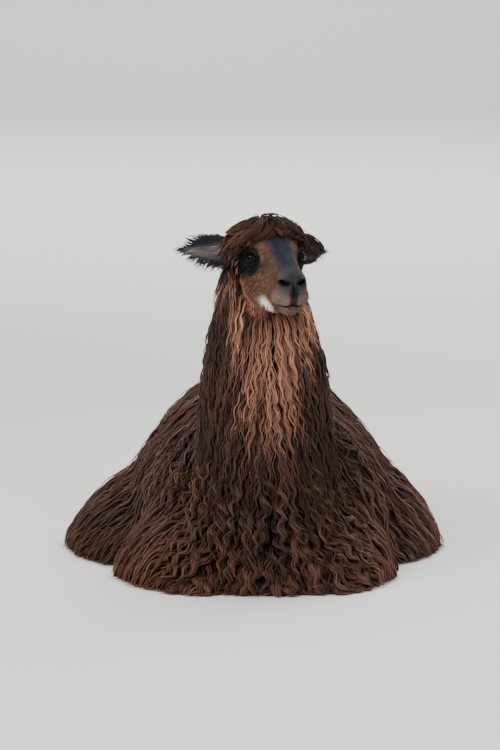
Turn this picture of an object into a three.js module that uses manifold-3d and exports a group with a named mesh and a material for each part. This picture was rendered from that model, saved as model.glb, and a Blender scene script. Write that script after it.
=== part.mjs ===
// A life-size long-fleeced alpaca resting in the kush, its legs folded under it and its head turned a little
// to its left. Millimetres, +Z up, the animal faces -Y and its left side is +X. Every solid reaches out to the
// tips of the fleece. The shapes are set out from a point on the floor under the belly, on the midline, and the
// finished animal is then moved so that the origin lies under the middle of its length and width.
import * as THREE from "three";
import { mergeVertices } from "three/addons/utils/BufferGeometryUtils.js";
import Module from "manifold-3d";

const wasm = await Module();
wasm.setup();

// ---- Driving sizes ------------------------------------------------------------------------------------------
const PARTING = 0.4; // the cut between two neighbouring pieces
const BACK_HEIGHT = 418; // the crest of the back above the floor
const BODY_FRONT = -330; // the brisket behind the folded knees
const BODY_REAR = 462; // the rump beside the tail
const FLEECE_SPREAD = 0.36; // how much the fleece widens from the back down to the floor
const KNEE_FRONT = -408; // the foremost fleece, over the folded knees

const EYE_SPACING = 93; // between the middles of the two eyeballs
const EYE_RADIUS = 15.5;
const EYE_HEIGHT = 698;
const HEAD_FORWARD = 375; // from the middle of the belly forward to the line between the eyes
const HEAD_OFFSET = 11; // the turned head carries its eyes this far to the animal's left
const HEAD_TURN = THREE.MathUtils.degToRad(15); // to the animal's left
const MUZZLE_LENGTH = 138; // from the line between the eyes to the tip of the nose
const MUZZLE_HALF_WIDTH = 35;
const MOUTH_DROP = 79; // the line of the mouth below the eyes
const EAR_LENGTH = 144;
const EAR_HALF_WIDTH = 31;
const EAR_DROOP = THREE.MathUtils.degToRad(7); // the ears hang below level by this
const EAR_SWEEP = THREE.MathUtils.degToRad(41); // the ears are laid back from straight out by this

// ---- Finishes -----------------------------------------------------------------------------------------------
const finish = (color, roughness) => new THREE.MeshStandardMaterial({ color, roughness, metalness: 0 });
const DARK_FLEECE = finish(0x33190f, 0.75);
const NECK_FLEECE = finish(0x5a2d1b, 0.7);
const CROWN_FLEECE = finish(0x4a2015, 0.7);
const FACE_COAT = finish(0x4a3228, 0.8);
const LIP_COAT = finish(0x5b5048, 0.8);
const EAR_COAT = finish(0x26201f, 0.8);
const EYE_GLOSS = finish(0x0b0807, 0.08);

// ---- Shape helpers ------------------------------------------------------------------------------------------

// Turns a closed surface into a solid, facing out.
function solidOf(geometry) {
  geometry.deleteAttribute("normal");
  geometry.deleteAttribute("uv");
  const merged = mergeVertices(geometry, 1e-3);
  const triVerts = new Uint32Array(merged.index.array);
  const vertProperties = merged.attributes.position.array;
  const made = new wasm.Manifold(new wasm.Mesh({ numProp: 3, vertProperties, triVerts }));
  if (made.volume() > 0) return made;
  for (let i = 0; i < triVerts.length; i += 3) {
    [triVerts[i + 1], triVerts[i + 2]] = [triVerts[i + 2], triVerts[i + 1]];
  }
  return new wasm.Manifold(new wasm.Mesh({ numProp: 3, vertProperties, triVerts }));
}

// Sends each point of a round grid through place(t, angle): t runs from pole to pole, angle goes round.
function wrapped(around, along, place) {
  const geometry = new THREE.SphereGeometry(1, around, along);
  const position = geometry.attributes.position;
  for (let i = 0; i < position.count; i += 1) {
    const row = Math.floor(i / (around + 1));
    const column = (i % (around + 1)) % around;
    const point = place(row / along, (2 * Math.PI * column) / around);
    position.setXYZ(i, point.x, point.y, point.z);
  }
  return solidOf(geometry);
}

// A signed power, which squares off or sharpens the round of a section.
const signedPower = (value, power) => Math.sign(value) * Math.abs(value) ** power;

// A rounded mass whose six reaches from its middle each have their own length. round squares off or sharpens
// its plan, and dome does the same to its upright profile: 2 is an ellipse, less leans towards a tent.
function mass({ at, left, right, front, back, up, down, round = 2, dome = 2, grow = 0, around = 24, along = 14 }) {
  const [x, y, z] = at;
  return wrapped(around, along, (t, angle) => {
    const ring = Math.abs(Math.sin(Math.PI * t)) ** (2 / dome);
    const dx = signedPower(Math.cos(angle), 2 / round) * ring;
    const dy = signedPower(Math.sin(angle), 2 / round) * ring;
    const dz = signedPower(Math.cos(Math.PI * t), 2 / dome);
    return new THREE.Vector3(
      x + dx * ((dx > 0 ? left : right) + grow),
      y + dy * ((dy > 0 ? back : front) + grow),
      z + dz * ((dz > 0 ? up : down) + grow),
    );
  });
}

// A sleeve along a line of stations {at, wide, deep}, closed and rounded at both ends. wide is measured across
// the animal, and deep square to that and to the line. flare narrows the upper side and widens the lower one.
function sleeve({ stations, flare = 0, round = 2, grow = 0, blunt = [0.3, 0.3], around = 28, along = 18 }) {
  const line = new THREE.CatmullRomCurve3(stations.map(({ at }) => new THREE.Vector3(...at)), false, "catmullrom");
  const sizes = new THREE.CatmullRomCurve3(
    stations.map(({ wide, deep }) => new THREE.Vector3(wide, deep, 0)), false, "catmullrom");
  const across = new THREE.Vector3(1, 0, 0);
  return wrapped(around, along, (t, angle) => {
    const run = (1 - Math.cos(Math.PI * t)) / 2;
    const [head, tail] = [Math.min(1, run / blunt[0]), Math.min(1, (1 - run) / blunt[1])];
    const closing = Math.sqrt((1 - (1 - head) ** 2) * (1 - (1 - tail) ** 2));
    const middle = line.getPoint(run);
    const size = sizes.getPoint(run);
    const second = new THREE.Vector3().crossVectors(across, line.getTangent(run)).normalize();
    const side = signedPower(Math.cos(angle), 2 / round);
    const rise = signedPower(Math.sin(angle), 2 / round);
    return middle
      .addScaledVector(across, closing * (size.x + grow) * side * (1 - flare * Math.sign(second.z || 1) * rise))
      .addScaledVector(second, closing * (size.y + grow) * rise);
  });
}

// A block that keeps or cuts everything on one side of a plane through a point.
function halfSpace(point, normal) {
  const reach = 3000;
  const geometry = new THREE.BoxGeometry(reach, reach, reach);
  const direction = new THREE.Vector3(...normal).normalize();
  geometry.translate(0, 0, reach / 2);
  geometry.applyQuaternion(new THREE.Quaternion().setFromUnitVectors(new THREE.Vector3(0, 0, 1), direction));
  geometry.translate(...point);
  return solidOf(geometry);
}

// Everything on the side of a cut that its normal points to, and the parting too where this is room for it.
function beyond(cut, parting = 0) {
  const normal = new THREE.Vector3(...cut.normal).normalize();
  const point = new THREE.Vector3(...cut.point).addScaledVector(normal, -parting);
  return halfSpace(point.toArray(), cut.normal);
}

const aboveFloor = halfSpace([0, 0, 0], [0, 0, 1]);

// ---- The body and its fleece --------------------------------------------------------------------------------

function trunkShape() {
  const crest = (z, deep) => Math.min(BACK_HEIGHT - z, deep);
  return sleeve({
    flare: FLEECE_SPREAD,
    blunt: [0.3, 0.2],
    around: 26,
    along: 18,
    stations: [
      { at: [3, BODY_FRONT, 175], wide: 120, deep: 150 },
      { at: [3, -190, 180], wide: 234, deep: crest(180, 226) },
      { at: [3, 0, 178], wide: 278, deep: crest(178, 240) },
      { at: [3, 180, 176], wide: 284, deep: crest(176, 240) },
      { at: [3, 340, 168], wide: 252, deep: crest(168, 222) },
      { at: [3, BODY_REAR, 150], wide: 185, deep: 165 },
    ],
  });
}

// The neck's long fleece, from the curtain over the brisket up to the poll.
function neckShape(grow = 0) {
  return sleeve({
    grow,
    around: 26,
    along: 18,
    blunt: [0.1, 0.12],
    stations: [
      { at: [0, -264, -110], wide: 168, deep: 150 },
      { at: [0, -264, 30], wide: 168, deep: 150 },
      { at: [0, -264, 170], wide: 158, deep: 144 },
      { at: [-2, -261, 330], wide: 144, deep: 130 },
      { at: [-4, -261, 440], wide: 134, deep: 115 },
      { at: [-7, -266, 530], wide: 116, deep: 101 },
      { at: [-13, -279, 630], wide: 86, deep: 90 },
      { at: [-10, -298, 706], wide: 62, deep: 72 },
    ],
  });
}

// A folded foreleg under its fleece, with the knee foremost. The right one has slid further out.
function forelegShape(flank, grow = 0) {
  const spread = flank === "right" ? { x: -122, out: 204, rise: 190 } : { x: 112, out: 172, rise: 205 };
  const inward = 100;
  return mass({
    dome: 1.6,
    at: [spread.x, -165, 0],
    left: flank === "left" ? spread.out : inward,
    right: flank === "left" ? inward : spread.out,
    front: -165 - KNEE_FRONT,
    back: 150,
    up: spread.rise,
    down: 60,
    grow,
  });
}

// A folded hind leg and haunch under their fleece, resting beside the belly.
function hindlegShape(flank, grow = 0) {
  const spread = flank === "right" ? { x: -215, out: 217, z: 0, rise: 215 } : { x: 195, out: 205, z: 10, rise: 240 };
  const inward = 125;
  return mass({
    dome: 1.4,
    around: 28,
    at: [spread.x, 130, spread.z],
    left: flank === "left" ? spread.out : inward,
    right: flank === "left" ? inward : spread.out,
    front: 290,
    back: 305,
    up: spread.rise,
    down: 80,
    grow,
  });
}

function tailShape(grow = 0) {
  return sleeve({
    grow,
    around: 14,
    along: 12,
    blunt: [0.3, 0.35],
    stations: [
      { at: [0, 405, 325], wide: 34, deep: 30 },
      { at: [0, 470, 262], wide: 52, deep: 38 },
      { at: [0, 498, 165], wide: 58, deep: 38 },
      { at: [0, 500, 40], wide: 40, deep: 26 },
    ],
  });
}

// ---- The head, in its own frame: the middle between the eyes, facing -Y before it is turned ------------------

function headFrame() {
  const frame = new THREE.Group();
  frame.position.set(HEAD_OFFSET, -HEAD_FORWARD, EYE_HEIGHT);
  frame.rotation.z = HEAD_TURN;
  frame.updateMatrixWorld(true);
  return frame;
}

const HEAD_MATRIX = headFrame().matrixWorld;
const outOfHead = (solid) => solid.transform(HEAD_MATRIX.toArray());
const intoHead = (solid) => solid.transform(HEAD_MATRIX.clone().invert().toArray());
const mirrored = (solid) => solid.mirror([1, 0, 0]);
const withMirrored = (solid) => solid.add(mirrored(solid));

// A station of the skull: how far in front of the eyes, its upper and lower line, and its half width.
const skull = (forward, top, bottom, wide) => ({
  at: [0, -forward, (top + bottom) / 2],
  wide,
  deep: (top - bottom) / 2,
});

function skullShape(grow = 0) {
  const profile = sleeve({
    grow,
    around: 26,
    along: 20,
    round: 2.2,
    blunt: [0.12, 0.15],
    stations: [
      skull(-98, 34, -76, 50),
      skull(-60, 54, -100, 64),
      skull(-24, 60, -112, 69),
      skull(8, 46, -112, 54),
      skull(44, 24, -108, 39),
      skull(80, 5, -104, 35),
      skull(112, -9, -101, MUZZLE_HALF_WIDTH),
      skull(MUZZLE_LENGTH, -24, -92, 27),
    ],
  });
  const brow = mass({
    at: [0, 4, 18], left: 58, right: 58, front: 18, back: 24, up: 15, down: 12, around: 16, along: 8, grow,
  });
  return profile.add(brow);
}

// A slanting, comma-shaped nostril on the animal's left.
function nostrilCut() {
  return mass({
    at: [18, -(MUZZLE_LENGTH - 6), -38], left: 8, right: 8, front: 14, back: 8, up: 4.5, down: 4.5, around: 12, along: 6,
  });
}

// Everything of the muzzle below the line of the mouth, in front of its corners.
function jawRegion(gap = 0) {
  const geometry = new THREE.BoxGeometry(160, 90 + gap, 80);
  geometry.rotateX(THREE.MathUtils.degToRad(-4));
  geometry.translate(0, -(66 + 45), -(MOUTH_DROP + 40) + gap);
  return solidOf(geometry);
}

const eyeMiddle = () => [EYE_SPACING / 2, -7, 0];

function eyeShape(grow = 0) {
  const radius = EYE_RADIUS + grow;
  const reaches = { left: radius, right: radius, front: radius, back: radius, up: radius, down: radius };
  return mass({ at: eyeMiddle(), ...reaches, around: 14, along: 10 });
}

// The cap of long fleece over the forehead, crown and sides of the face behind the eyes.
function topknotShape(grow = 0) {
  return mass({
    at: [-5, 34, 8], left: 84, right: 92, front: 66, back: 76, up: 74, down: 74, around: 24, along: 14, dome: 2.1, grow,
  });
}

// The animal's left ear: a pointed leaf, cupped towards the front, laid back and out.
function earShape(grow = 0) {
  const leaf = (inset, push) =>
    sleeve({
      grow,
      around: 14,
      along: 12,
      blunt: [0.25, 0.55],
      stations: [
        { at: [0, push, 0], wide: 17 - inset, deep: 9 - inset / 2 },
        { at: [2, push, EAR_LENGTH * 0.3], wide: EAR_HALF_WIDTH - inset, deep: 11 - inset / 2 },
        { at: [1, push, EAR_LENGTH * 0.62], wide: EAR_HALF_WIDTH - 3 - inset, deep: 9 - inset / 2 },
        { at: [-1, push, EAR_LENGTH - inset * 2], wide: 8 - inset / 2, deep: 4.5 },
      ],
    });
  const laid = new THREE.Matrix4()
    .makeTranslation(50, 58, 12)
    .multiply(new THREE.Matrix4().makeRotationZ(EAR_SWEEP))
    .multiply(new THREE.Matrix4().makeRotationY(Math.PI / 2 + EAR_DROOP))
    .multiply(new THREE.Matrix4().makeRotationZ(-0.25));
  const whole = leaf(0, 0);
  return (grow ? whole : whole.subtract(leaf(5, -8))).transform(laid.toArray());
}

// ---- Parting the animal -------------------------------------------------------------------------------------

const FRINGE_CUT = { point: [0, 19, 5], normal: [0, 0.75, 0.66] }; // in the head's frame; behind it is the topknot
const POLL_CUT = { point: [0, -262, 652], normal: [0, -0.75, 0.66] }; // in front of it and above is the head
const NECK_CUT = { point: [0, -262, 330], normal: [0, -0.42, 0.91] }; // above it is the neck

// The pieces of the head in its own frame, and the room that they take out of the neck.
function headPieces() {
  const eye = eyeShape();
  const skull = skullShape().subtract(withMirrored(eyeShape(PARTING))).subtract(withMirrored(nostrilCut()));
  const skullRoom = skullShape(PARTING);
  const topknotRoom = topknotShape(PARTING);
  const ear = earShape();
  const earIn = (whole) => whole.subtract(topknotRoom).subtract(skullRoom);
  const frontOfPoll = intoHead(beyond(POLL_CUT));
  const room = skullRoom
    .add(topknotRoom.intersect(beyond(FRINGE_CUT, PARTING)))
    .intersect(intoHead(beyond(POLL_CUT, PARTING)))
    .add(withMirrored(earShape(PARTING)));
  return {
    room: outOfHead(room),
    head: skull.subtract(jawRegion(PARTING)).intersect(frontOfPoll),
    lower_jaw: skull.intersect(jawRegion()),
    topknot: topknotShape().intersect(beyond(FRINGE_CUT)).subtract(skullRoom).intersect(frontOfPoll),
    ear_left: earIn(ear),
    ear_right: earIn(mirrored(ear)),
    eye_left: eye,
    eye_right: mirrored(eye),
  };
}

// The pieces of the neck and body, standing on the floor.
function bodyPieces(headRoom) {
  const column = neckShape();
  const neckRoom = neckShape(PARTING).intersect(beyond(NECK_CUT, PARTING));
  const forelegRoom = forelegShape("left", PARTING).add(forelegShape("right", PARTING));
  const hindlegRoom = hindlegShape("left", PARTING).add(hindlegShape("right", PARTING));
  return {
    trunk: trunkShape()
      .add(column)
      .subtract(neckRoom)
      .subtract(forelegRoom)
      .subtract(hindlegRoom)
      .subtract(tailShape(PARTING))
      .intersect(aboveFloor),
    neck: column.intersect(beyond(NECK_CUT)).subtract(headRoom),
    foreleg_left: forelegShape("left").intersect(aboveFloor),
    foreleg_right: forelegShape("right").intersect(aboveFloor),
    hindleg_left: hindlegShape("left").subtract(forelegRoom).intersect(aboveFloor),
    hindleg_right: hindlegShape("right").subtract(forelegRoom).intersect(aboveFloor),
    tail: tailShape().intersect(aboveFloor),
  };
}

// ---- The finished animal ------------------------------------------------------------------------------------

const FINISHES = {
  trunk: DARK_FLEECE,
  tail: DARK_FLEECE,
  foreleg_left: DARK_FLEECE,
  foreleg_right: DARK_FLEECE,
  hindleg_left: DARK_FLEECE,
  hindleg_right: DARK_FLEECE,
  neck: NECK_FLEECE,
  topknot: CROWN_FLEECE,
  head: FACE_COAT,
  lower_jaw: LIP_COAT,
  ear_left: EAR_COAT,
  ear_right: EAR_COAT,
  eye_left: EYE_GLOSS,
  eye_right: EYE_GLOSS,
};

function addPieces(group, pieces) {
  for (const [name, solid] of Object.entries(pieces)) {
    const { vertProperties, triVerts } = solid.getMesh();
    const geometry = new THREE.BufferGeometry();
    geometry.setAttribute("position", new THREE.BufferAttribute(vertProperties, 3));
    geometry.setIndex(new THREE.BufferAttribute(triVerts, 1));
    geometry.computeVertexNormals();
    const mesh = new THREE.Mesh(geometry, FINISHES[name]);
    mesh.name = name;
    group.add(mesh);
  }
}

const { room: headRoom, ...onHead } = headPieces();
const head = headFrame();
addPieces(head, onHead);

const animal = new THREE.Group();
addPieces(animal, bodyPieces(headRoom));
animal.add(head);

// The origin is on the floor, under the middle of the animal's length and width.
const middle = new THREE.Box3().setFromObject(animal, true).getCenter(new THREE.Vector3());
animal.position.set(-middle.x, -middle.y, 0);

const alpaca = new THREE.Group();
alpaca.add(animal);

export default alpaca;
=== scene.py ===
"""A long-fleeced alpaca lying in the kush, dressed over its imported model.

Metres, +Z up. The animal faces -Y and its left side is +X. One skin stands for all the flesh, two glossy eyes
sit in it, and the fleece and the short hair grow on it as closed locks of mesh.
"""

from __future__ import annotations

import copy
import logging
import math
from dataclasses import dataclass, field
from enum import Enum
from typing import Any, Callable

import bmesh
import bpy
import numpy as np
from mathutils import Matrix, Vector
from mathutils.bvhtree import BVHTree
from mathutils.kdtree import KDTree

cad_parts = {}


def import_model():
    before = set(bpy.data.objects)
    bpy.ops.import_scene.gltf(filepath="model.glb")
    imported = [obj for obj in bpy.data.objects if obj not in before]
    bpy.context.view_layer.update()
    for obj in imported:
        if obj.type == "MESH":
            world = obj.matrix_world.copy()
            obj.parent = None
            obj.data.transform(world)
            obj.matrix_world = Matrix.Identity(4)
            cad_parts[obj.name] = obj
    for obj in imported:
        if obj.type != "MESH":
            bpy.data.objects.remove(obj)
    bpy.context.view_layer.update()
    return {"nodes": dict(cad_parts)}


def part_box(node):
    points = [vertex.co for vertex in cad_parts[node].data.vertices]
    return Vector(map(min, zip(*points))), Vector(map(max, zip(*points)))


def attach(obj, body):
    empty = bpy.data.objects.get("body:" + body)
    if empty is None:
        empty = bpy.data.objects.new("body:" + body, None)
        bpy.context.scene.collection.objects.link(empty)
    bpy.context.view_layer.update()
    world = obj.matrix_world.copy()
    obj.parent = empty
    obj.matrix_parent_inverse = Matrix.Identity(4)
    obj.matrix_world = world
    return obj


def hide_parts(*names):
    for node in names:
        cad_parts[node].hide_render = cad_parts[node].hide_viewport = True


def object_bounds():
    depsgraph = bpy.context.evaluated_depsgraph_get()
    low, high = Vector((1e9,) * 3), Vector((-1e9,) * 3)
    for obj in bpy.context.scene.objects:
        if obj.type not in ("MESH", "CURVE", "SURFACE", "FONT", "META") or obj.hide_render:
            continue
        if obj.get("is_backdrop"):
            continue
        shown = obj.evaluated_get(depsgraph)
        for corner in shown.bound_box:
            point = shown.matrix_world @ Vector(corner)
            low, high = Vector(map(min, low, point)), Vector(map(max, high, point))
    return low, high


log = logging.getLogger("alpaca")

Array = np.ndarray
Numbers = tuple[float, ...]
Flow = Callable[[Array, Array], Array]

UV_BAKE = "OFBake"
UV_HAIR = "Hair"
SPINE_X = 0.019
CELL_KEYS = (73856093, 19349663, 83492791)


# ---- Small numeric helpers ----


def ramp(low: float, high: float, value: Array) -> Array:
    """Rise smoothly from 0 at low to 1 at high; low may be the larger one."""
    t = np.clip((value - low) / (high - low), 0.0, 1.0)
    return t * t * (3.0 - 2.0 * t)


def bell(value: Array, middle: float, reach: float) -> Array:
    """Give 1 at the middle, falling away on both sides over about reach."""
    return np.exp(-(((value - middle) / reach) ** 2))


def unit(vectors: Array) -> Array:
    """Scale each row to length one."""
    return vectors / np.maximum(np.linalg.norm(vectors, axis=-1, keepdims=True), 1e-9)


def blend(first: Any, second: Any, amount: Array) -> Array:
    """Mix two values or arrays by an amount from 0 to 1."""
    return first + (second - first) * amount


def flattened(vectors: Array, normals: Array, share: float = 1.0) -> Array:
    """Take out of vectors all, or a share, of what points along unit normals."""
    return vectors - normals * np.sum(vectors * normals, axis=-1, keepdims=True) * share


def one_per_cell(points: Array, cell: Any) -> Array:
    """Choose one of the places in each cell of a grid, and give their numbers."""
    keys = np.floor(points / cell).astype(np.int64) @ np.array(CELL_KEYS)
    return np.unique(keys, return_index=True)[1]


def fewer(count: int, quick_share: float) -> int:
    """Give a count as it is."""
    return int(count * (1.0))


def spaced(rings: int) -> Array:
    """Place the rings along a lock from 0 to 1, with longer steps near its hidden root."""
    steps = np.ones(rings - 1)
    steps[:2] = 2.0
    return np.concatenate(([0.0], np.cumsum(steps))) / steps.sum()


def drifting(points: Array, reach: float, seed: int) -> Array:
    """Give a smooth number from about -1 to 1 for each place.

    Args:
        points: The places.
        reach: How far apart its rises are, in metres.
        seed: What starts its random numbers.

    Returns:
        One number for each place.
    """
    random = np.random.default_rng(seed)
    total = np.zeros(len(points))
    for _ in range(6):
        wave = unit(random.normal(size=3)) * 2.0 * np.pi / (reach * random.uniform(0.7, 1.6))
        total += np.sin(points @ wave + random.uniform(0.0, 2.0 * np.pi))
    return total / 2.4


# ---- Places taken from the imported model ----


@dataclass(frozen=True)
class HeadAxes:
    """The turned head's own frame: the point between the eyes, and its forward, left and up."""

    middle: Array
    forward: Array
    left: Array
    up: Array
    eye_forward: float = 0.007

    @classmethod
    def from_frame(cls) -> "HeadAxes":
        """Work the frame out from the places of the two CAD eyes.

        Returns:
            The head's frame.
        """
        left_eye = np.mean(np.array(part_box("eye_left")), axis=0)
        right_eye = np.mean(np.array(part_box("eye_right")), axis=0)
        left = unit(left_eye - right_eye)
        up = np.array((0.0, 0.0, 1.0))
        forward = np.cross(left, up)
        middle = (left_eye + right_eye) / 2.0 - forward * cls.eye_forward
        return cls(middle, forward, left, up)

    def local(self, points: Array) -> Array:
        """Give points as (forward, left, up) from between the eyes."""
        away = points - self.middle
        return np.stack((away @ self.forward, away @ self.left, away @ self.up), axis=-1)

    def facing(self, vectors: Array) -> Array:
        """Give directions as (forward, left, up)."""
        return self.local(vectors + self.middle)

    def turned(self, vectors: Array) -> Array:
        """Turn (forward, left, up) directions into the model's frame."""
        forward, left, up = (vectors[..., axis:axis + 1] for axis in range(3))
        return forward * self.forward + left * self.left + up * self.up

    def world(self, points: Array) -> Array:
        """Give (forward, left, up) places in the model's frame."""
        return self.turned(points) + self.middle


# ---- Shader helpers ----


def arithmetic(operation: str, reflected: bool = False) -> Callable[["Wire", Any], "Wire"]:
    """Make one arithmetic method of a wire.

    Args:
        operation: The Math node's operation.
        reflected: Whether the other value comes first.

    Returns:
        The method.
    """

    def apply(wire: "Wire", other: Any) -> "Wire":
        """Add one Math node."""
        first, second = (other, wire) if reflected else (wire, other)
        return wire.nodes.add("ShaderNodeMath", {"operation": operation}, {0: first, 1: second})

    return apply


class Wire:
    """A node's output that can be used in plain arithmetic."""

    def __init__(self, nodes: "Nodes", socket: bpy.types.NodeSocket) -> None:
        """Keep the tree's builder and the socket."""
        self.nodes = nodes
        self.socket = socket

    __add__ = arithmetic("ADD")
    __radd__ = arithmetic("ADD", reflected=True)
    __sub__ = arithmetic("SUBTRACT")
    __rsub__ = arithmetic("SUBTRACT", reflected=True)
    __mul__ = arithmetic("MULTIPLY")
    __rmul__ = arithmetic("MULTIPLY", reflected=True)
    __pow__ = arithmetic("POWER")


class Nodes:
    """Builds one material's node tree."""

    def __init__(self, name: str) -> None:
        """Start a material that holds a Principled BSDF and its output.

        Args:
            name: The material's name.
        """
        self.material = bpy.data.materials.new(name)
        self.material.use_nodes = True
        self.tree = self.material.node_tree
        self.tree.nodes.clear()
        output = self.tree.nodes.new("ShaderNodeOutputMaterial")
        self.shader = self.tree.nodes.new("ShaderNodeBsdfPrincipled")
        self.tree.links.new(self.shader.outputs["BSDF"], output.inputs["Surface"])

    def add(self, kind: str, settings: dict[str, Any], inputs: dict[Any, Any], output: Any = 0) -> Wire:
        """Add a node.

        Args:
            kind: The node's type.
            settings: Its properties, which are set first.
            inputs: Values or wires for its sockets, by name or number.
            output: The socket to hand back, by name or number.

        Returns:
            The wire from that socket.
        """
        node = self.tree.nodes.new(kind)
        for name, value in settings.items():
            setattr(node, name, value)
        for name, value in inputs.items():
            self.feed(node.inputs[name], value)
        return Wire(self, node.outputs[output])

    def feed(self, socket: bpy.types.NodeSocket, value: Any) -> None:
        """Link a wire to a socket, or set the socket's value."""
        if isinstance(value, Wire):
            self.tree.links.new(value.socket, socket)
        else:
            socket.default_value = value

    def set(self, **values: Any) -> None:
        """Set or link the shader's sockets, named with underscores for spaces."""
        for name, value in values.items():
            self.feed(self.shader.inputs[name.replace("_", " ").title().replace("Ior", "IOR")], value)

    def attribute(self, name: str) -> tuple[Wire, ...]:
        """Read a three-part attribute of the mesh as three numbers."""
        whole = self.add("ShaderNodeAttribute", {"attribute_name": name}, {}, "Vector")
        parts = self.add("ShaderNodeSeparateXYZ", {}, {0: whole}).socket.node.outputs
        return tuple(Wire(self, part) for part in parts)

    def mix(self, amount: Any, first: Any, second: Any) -> Wire:
        """Mix two colours, by an amount of the second."""
        return self.add("ShaderNodeMix", {"data_type": "RGBA"}, {"Factor": amount, 6: first, 7: second}, 2)

    def scaled(self, colour: Any, amount: Any) -> Wire:
        """Multiply a colour by a number."""
        return self.add("ShaderNodeVectorMath", {"operation": "SCALE"}, {0: colour, "Scale": amount})

    def noise(self, vector: Wire, scale: float, detail: float = 2.0, roughness: float = 0.5) -> Wire:
        """Add a noise from 0 to 1."""
        inputs = {"Vector": vector, "Scale": scale, "Detail": detail, "Roughness": roughness}
        return self.add("ShaderNodeTexNoise", {}, inputs, "Fac")

    def mapped(self, vector: Wire, scale: Numbers) -> Wire:
        """Stretch a vector."""
        return self.add("ShaderNodeMapping", {}, {"Vector": vector, "Scale": scale})

    def place(self) -> Wire:
        """Read the Object coordinates."""
        return self.add("ShaderNodeTexCoord", {}, {}, "Object")

    def hair_map(self) -> Wire:
        """Read the map that runs across and along each lock."""
        return self.add("ShaderNodeUVMap", {"uv_map": UV_HAIR}, {})

    def bump(self, height: Wire, strength: float, distance: float) -> Wire:
        """Turn a height into a normal."""
        return self.add("ShaderNodeBump", {}, {"Height": height, "Strength": strength, "Distance": distance})


# ---- Finishes ----


@dataclass(frozen=True)
class Palette:
    """The coat's colours, as linear RGBA."""

    dark: Numbers = (0.062, 0.032, 0.024, 1.0)
    warm: Numbers = (0.137, 0.070, 0.050, 1.0)
    copper: Numbers = (0.37, 0.168, 0.108, 1.0)
    rust: Numbers = (0.22, 0.085, 0.036, 1.0)
    tan: Numbers = (0.180, 0.080, 0.044, 1.0)
    slate: Numbers = (0.009, 0.014, 0.022, 1.0)
    black: Numbers = (0.006, 0.007, 0.008, 1.0)
    pale: Numbers = (0.90, 0.80, 0.75, 1.0)


@dataclass(frozen=True)
class Finish:
    """A finish by its name and gloss; each kind lays its own colour and relief on the shader."""

    name: str
    gloss: float = 0.16

    def paint(self, nodes: Nodes) -> None:
        """Lay the finish on the shader."""
        raise NotImplementedError

    def build(self) -> bpy.types.Material:
        """Build the material.

        Returns:
            The material.
        """
        nodes = Nodes(self.name)
        self.paint(nodes)
        nodes.set(specular_ior_level=self.gloss)
        return nodes.material


@dataclass(frozen=True)
class CoatFinish(Finish):
    """What the finishes of skin and hair share: the animal's markings and painted shade, read from the mesh.
    """

    roughness: float = 0.5
    depth: float = 0.0006
    palette: Palette = Palette()
    noise_detail: float = 3.0
    noise_roughness: float = 0.65

    def coloured(self, nodes: Nodes, tint: Any) -> Wire:
        """Lay the animal's markings over one another; the black layer also lays painted shade, and the pale
        one a painted glint.

        Args:
            nodes: The material being built.
            tint: The lighter and darker of the dark fleece, from 0 to 1.

        Returns:
            The colour.
        """
        copper, rust, tan = nodes.attribute("warm_marks")
        slate, black, pale = nodes.attribute("cool_marks_and_shade")
        colours = self.palette
        colour = nodes.mix(tint, colours.dark, colours.warm)
        layers = (
            (copper, colours.copper), (rust, colours.rust), (tan, colours.tan),
            (slate, colours.slate), (pale, colours.pale), (black, colours.black),
        )
        for amount, over in layers:
            colour = nodes.mix(amount, colour, over)
        return colour


@dataclass(frozen=True)
class LockFinish(CoatFinish):
    """The finish of locks of hair: fine fibres along them, painted shade that darkens each lock towards its
    root, and each lock's own painted shade and light.
    """

    # root: how bright a lock is painted at its root, as painted shade of the under-layer.
    root: float = 0.16
    fibre_stretch: Numbers = (8.0, 2.0, 1.0)
    patch_scale: float = 9.0
    bump: float = 0.8

    def paint(self, nodes: Nodes) -> None:
        """Lay colour with its painted shade, roughness and fibres on the shader."""
        along, tint, shade = nodes.attribute("lock")
        stretched = nodes.mapped(nodes.hair_map(), self.fibre_stretch)
        fibres = nodes.noise(stretched, 1.0, self.noise_detail, self.noise_roughness)
        patches = nodes.noise(nodes.place(), self.patch_scale)
        colour = self.coloured(nodes, tint * 0.75 + patches * 0.5 - 0.15)
        # Painted shade: darker towards the root and by each lock's shade; the fibre stripes lighten and
        # darken the colour, partly as painted highlights and shade between fibres.
        brightness_with_painted_shade = (self.root + (1.0 - self.root) * along ** 0.7) * (0.15 + 1.60 * fibres) * shade
        nodes.set(base_color=nodes.scaled(colour, brightness_with_painted_shade))
        nodes.set(roughness=self.roughness + 0.22 * fibres - 0.08)
        nodes.set(normal=nodes.bump(fibres, self.bump, self.depth))


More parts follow.
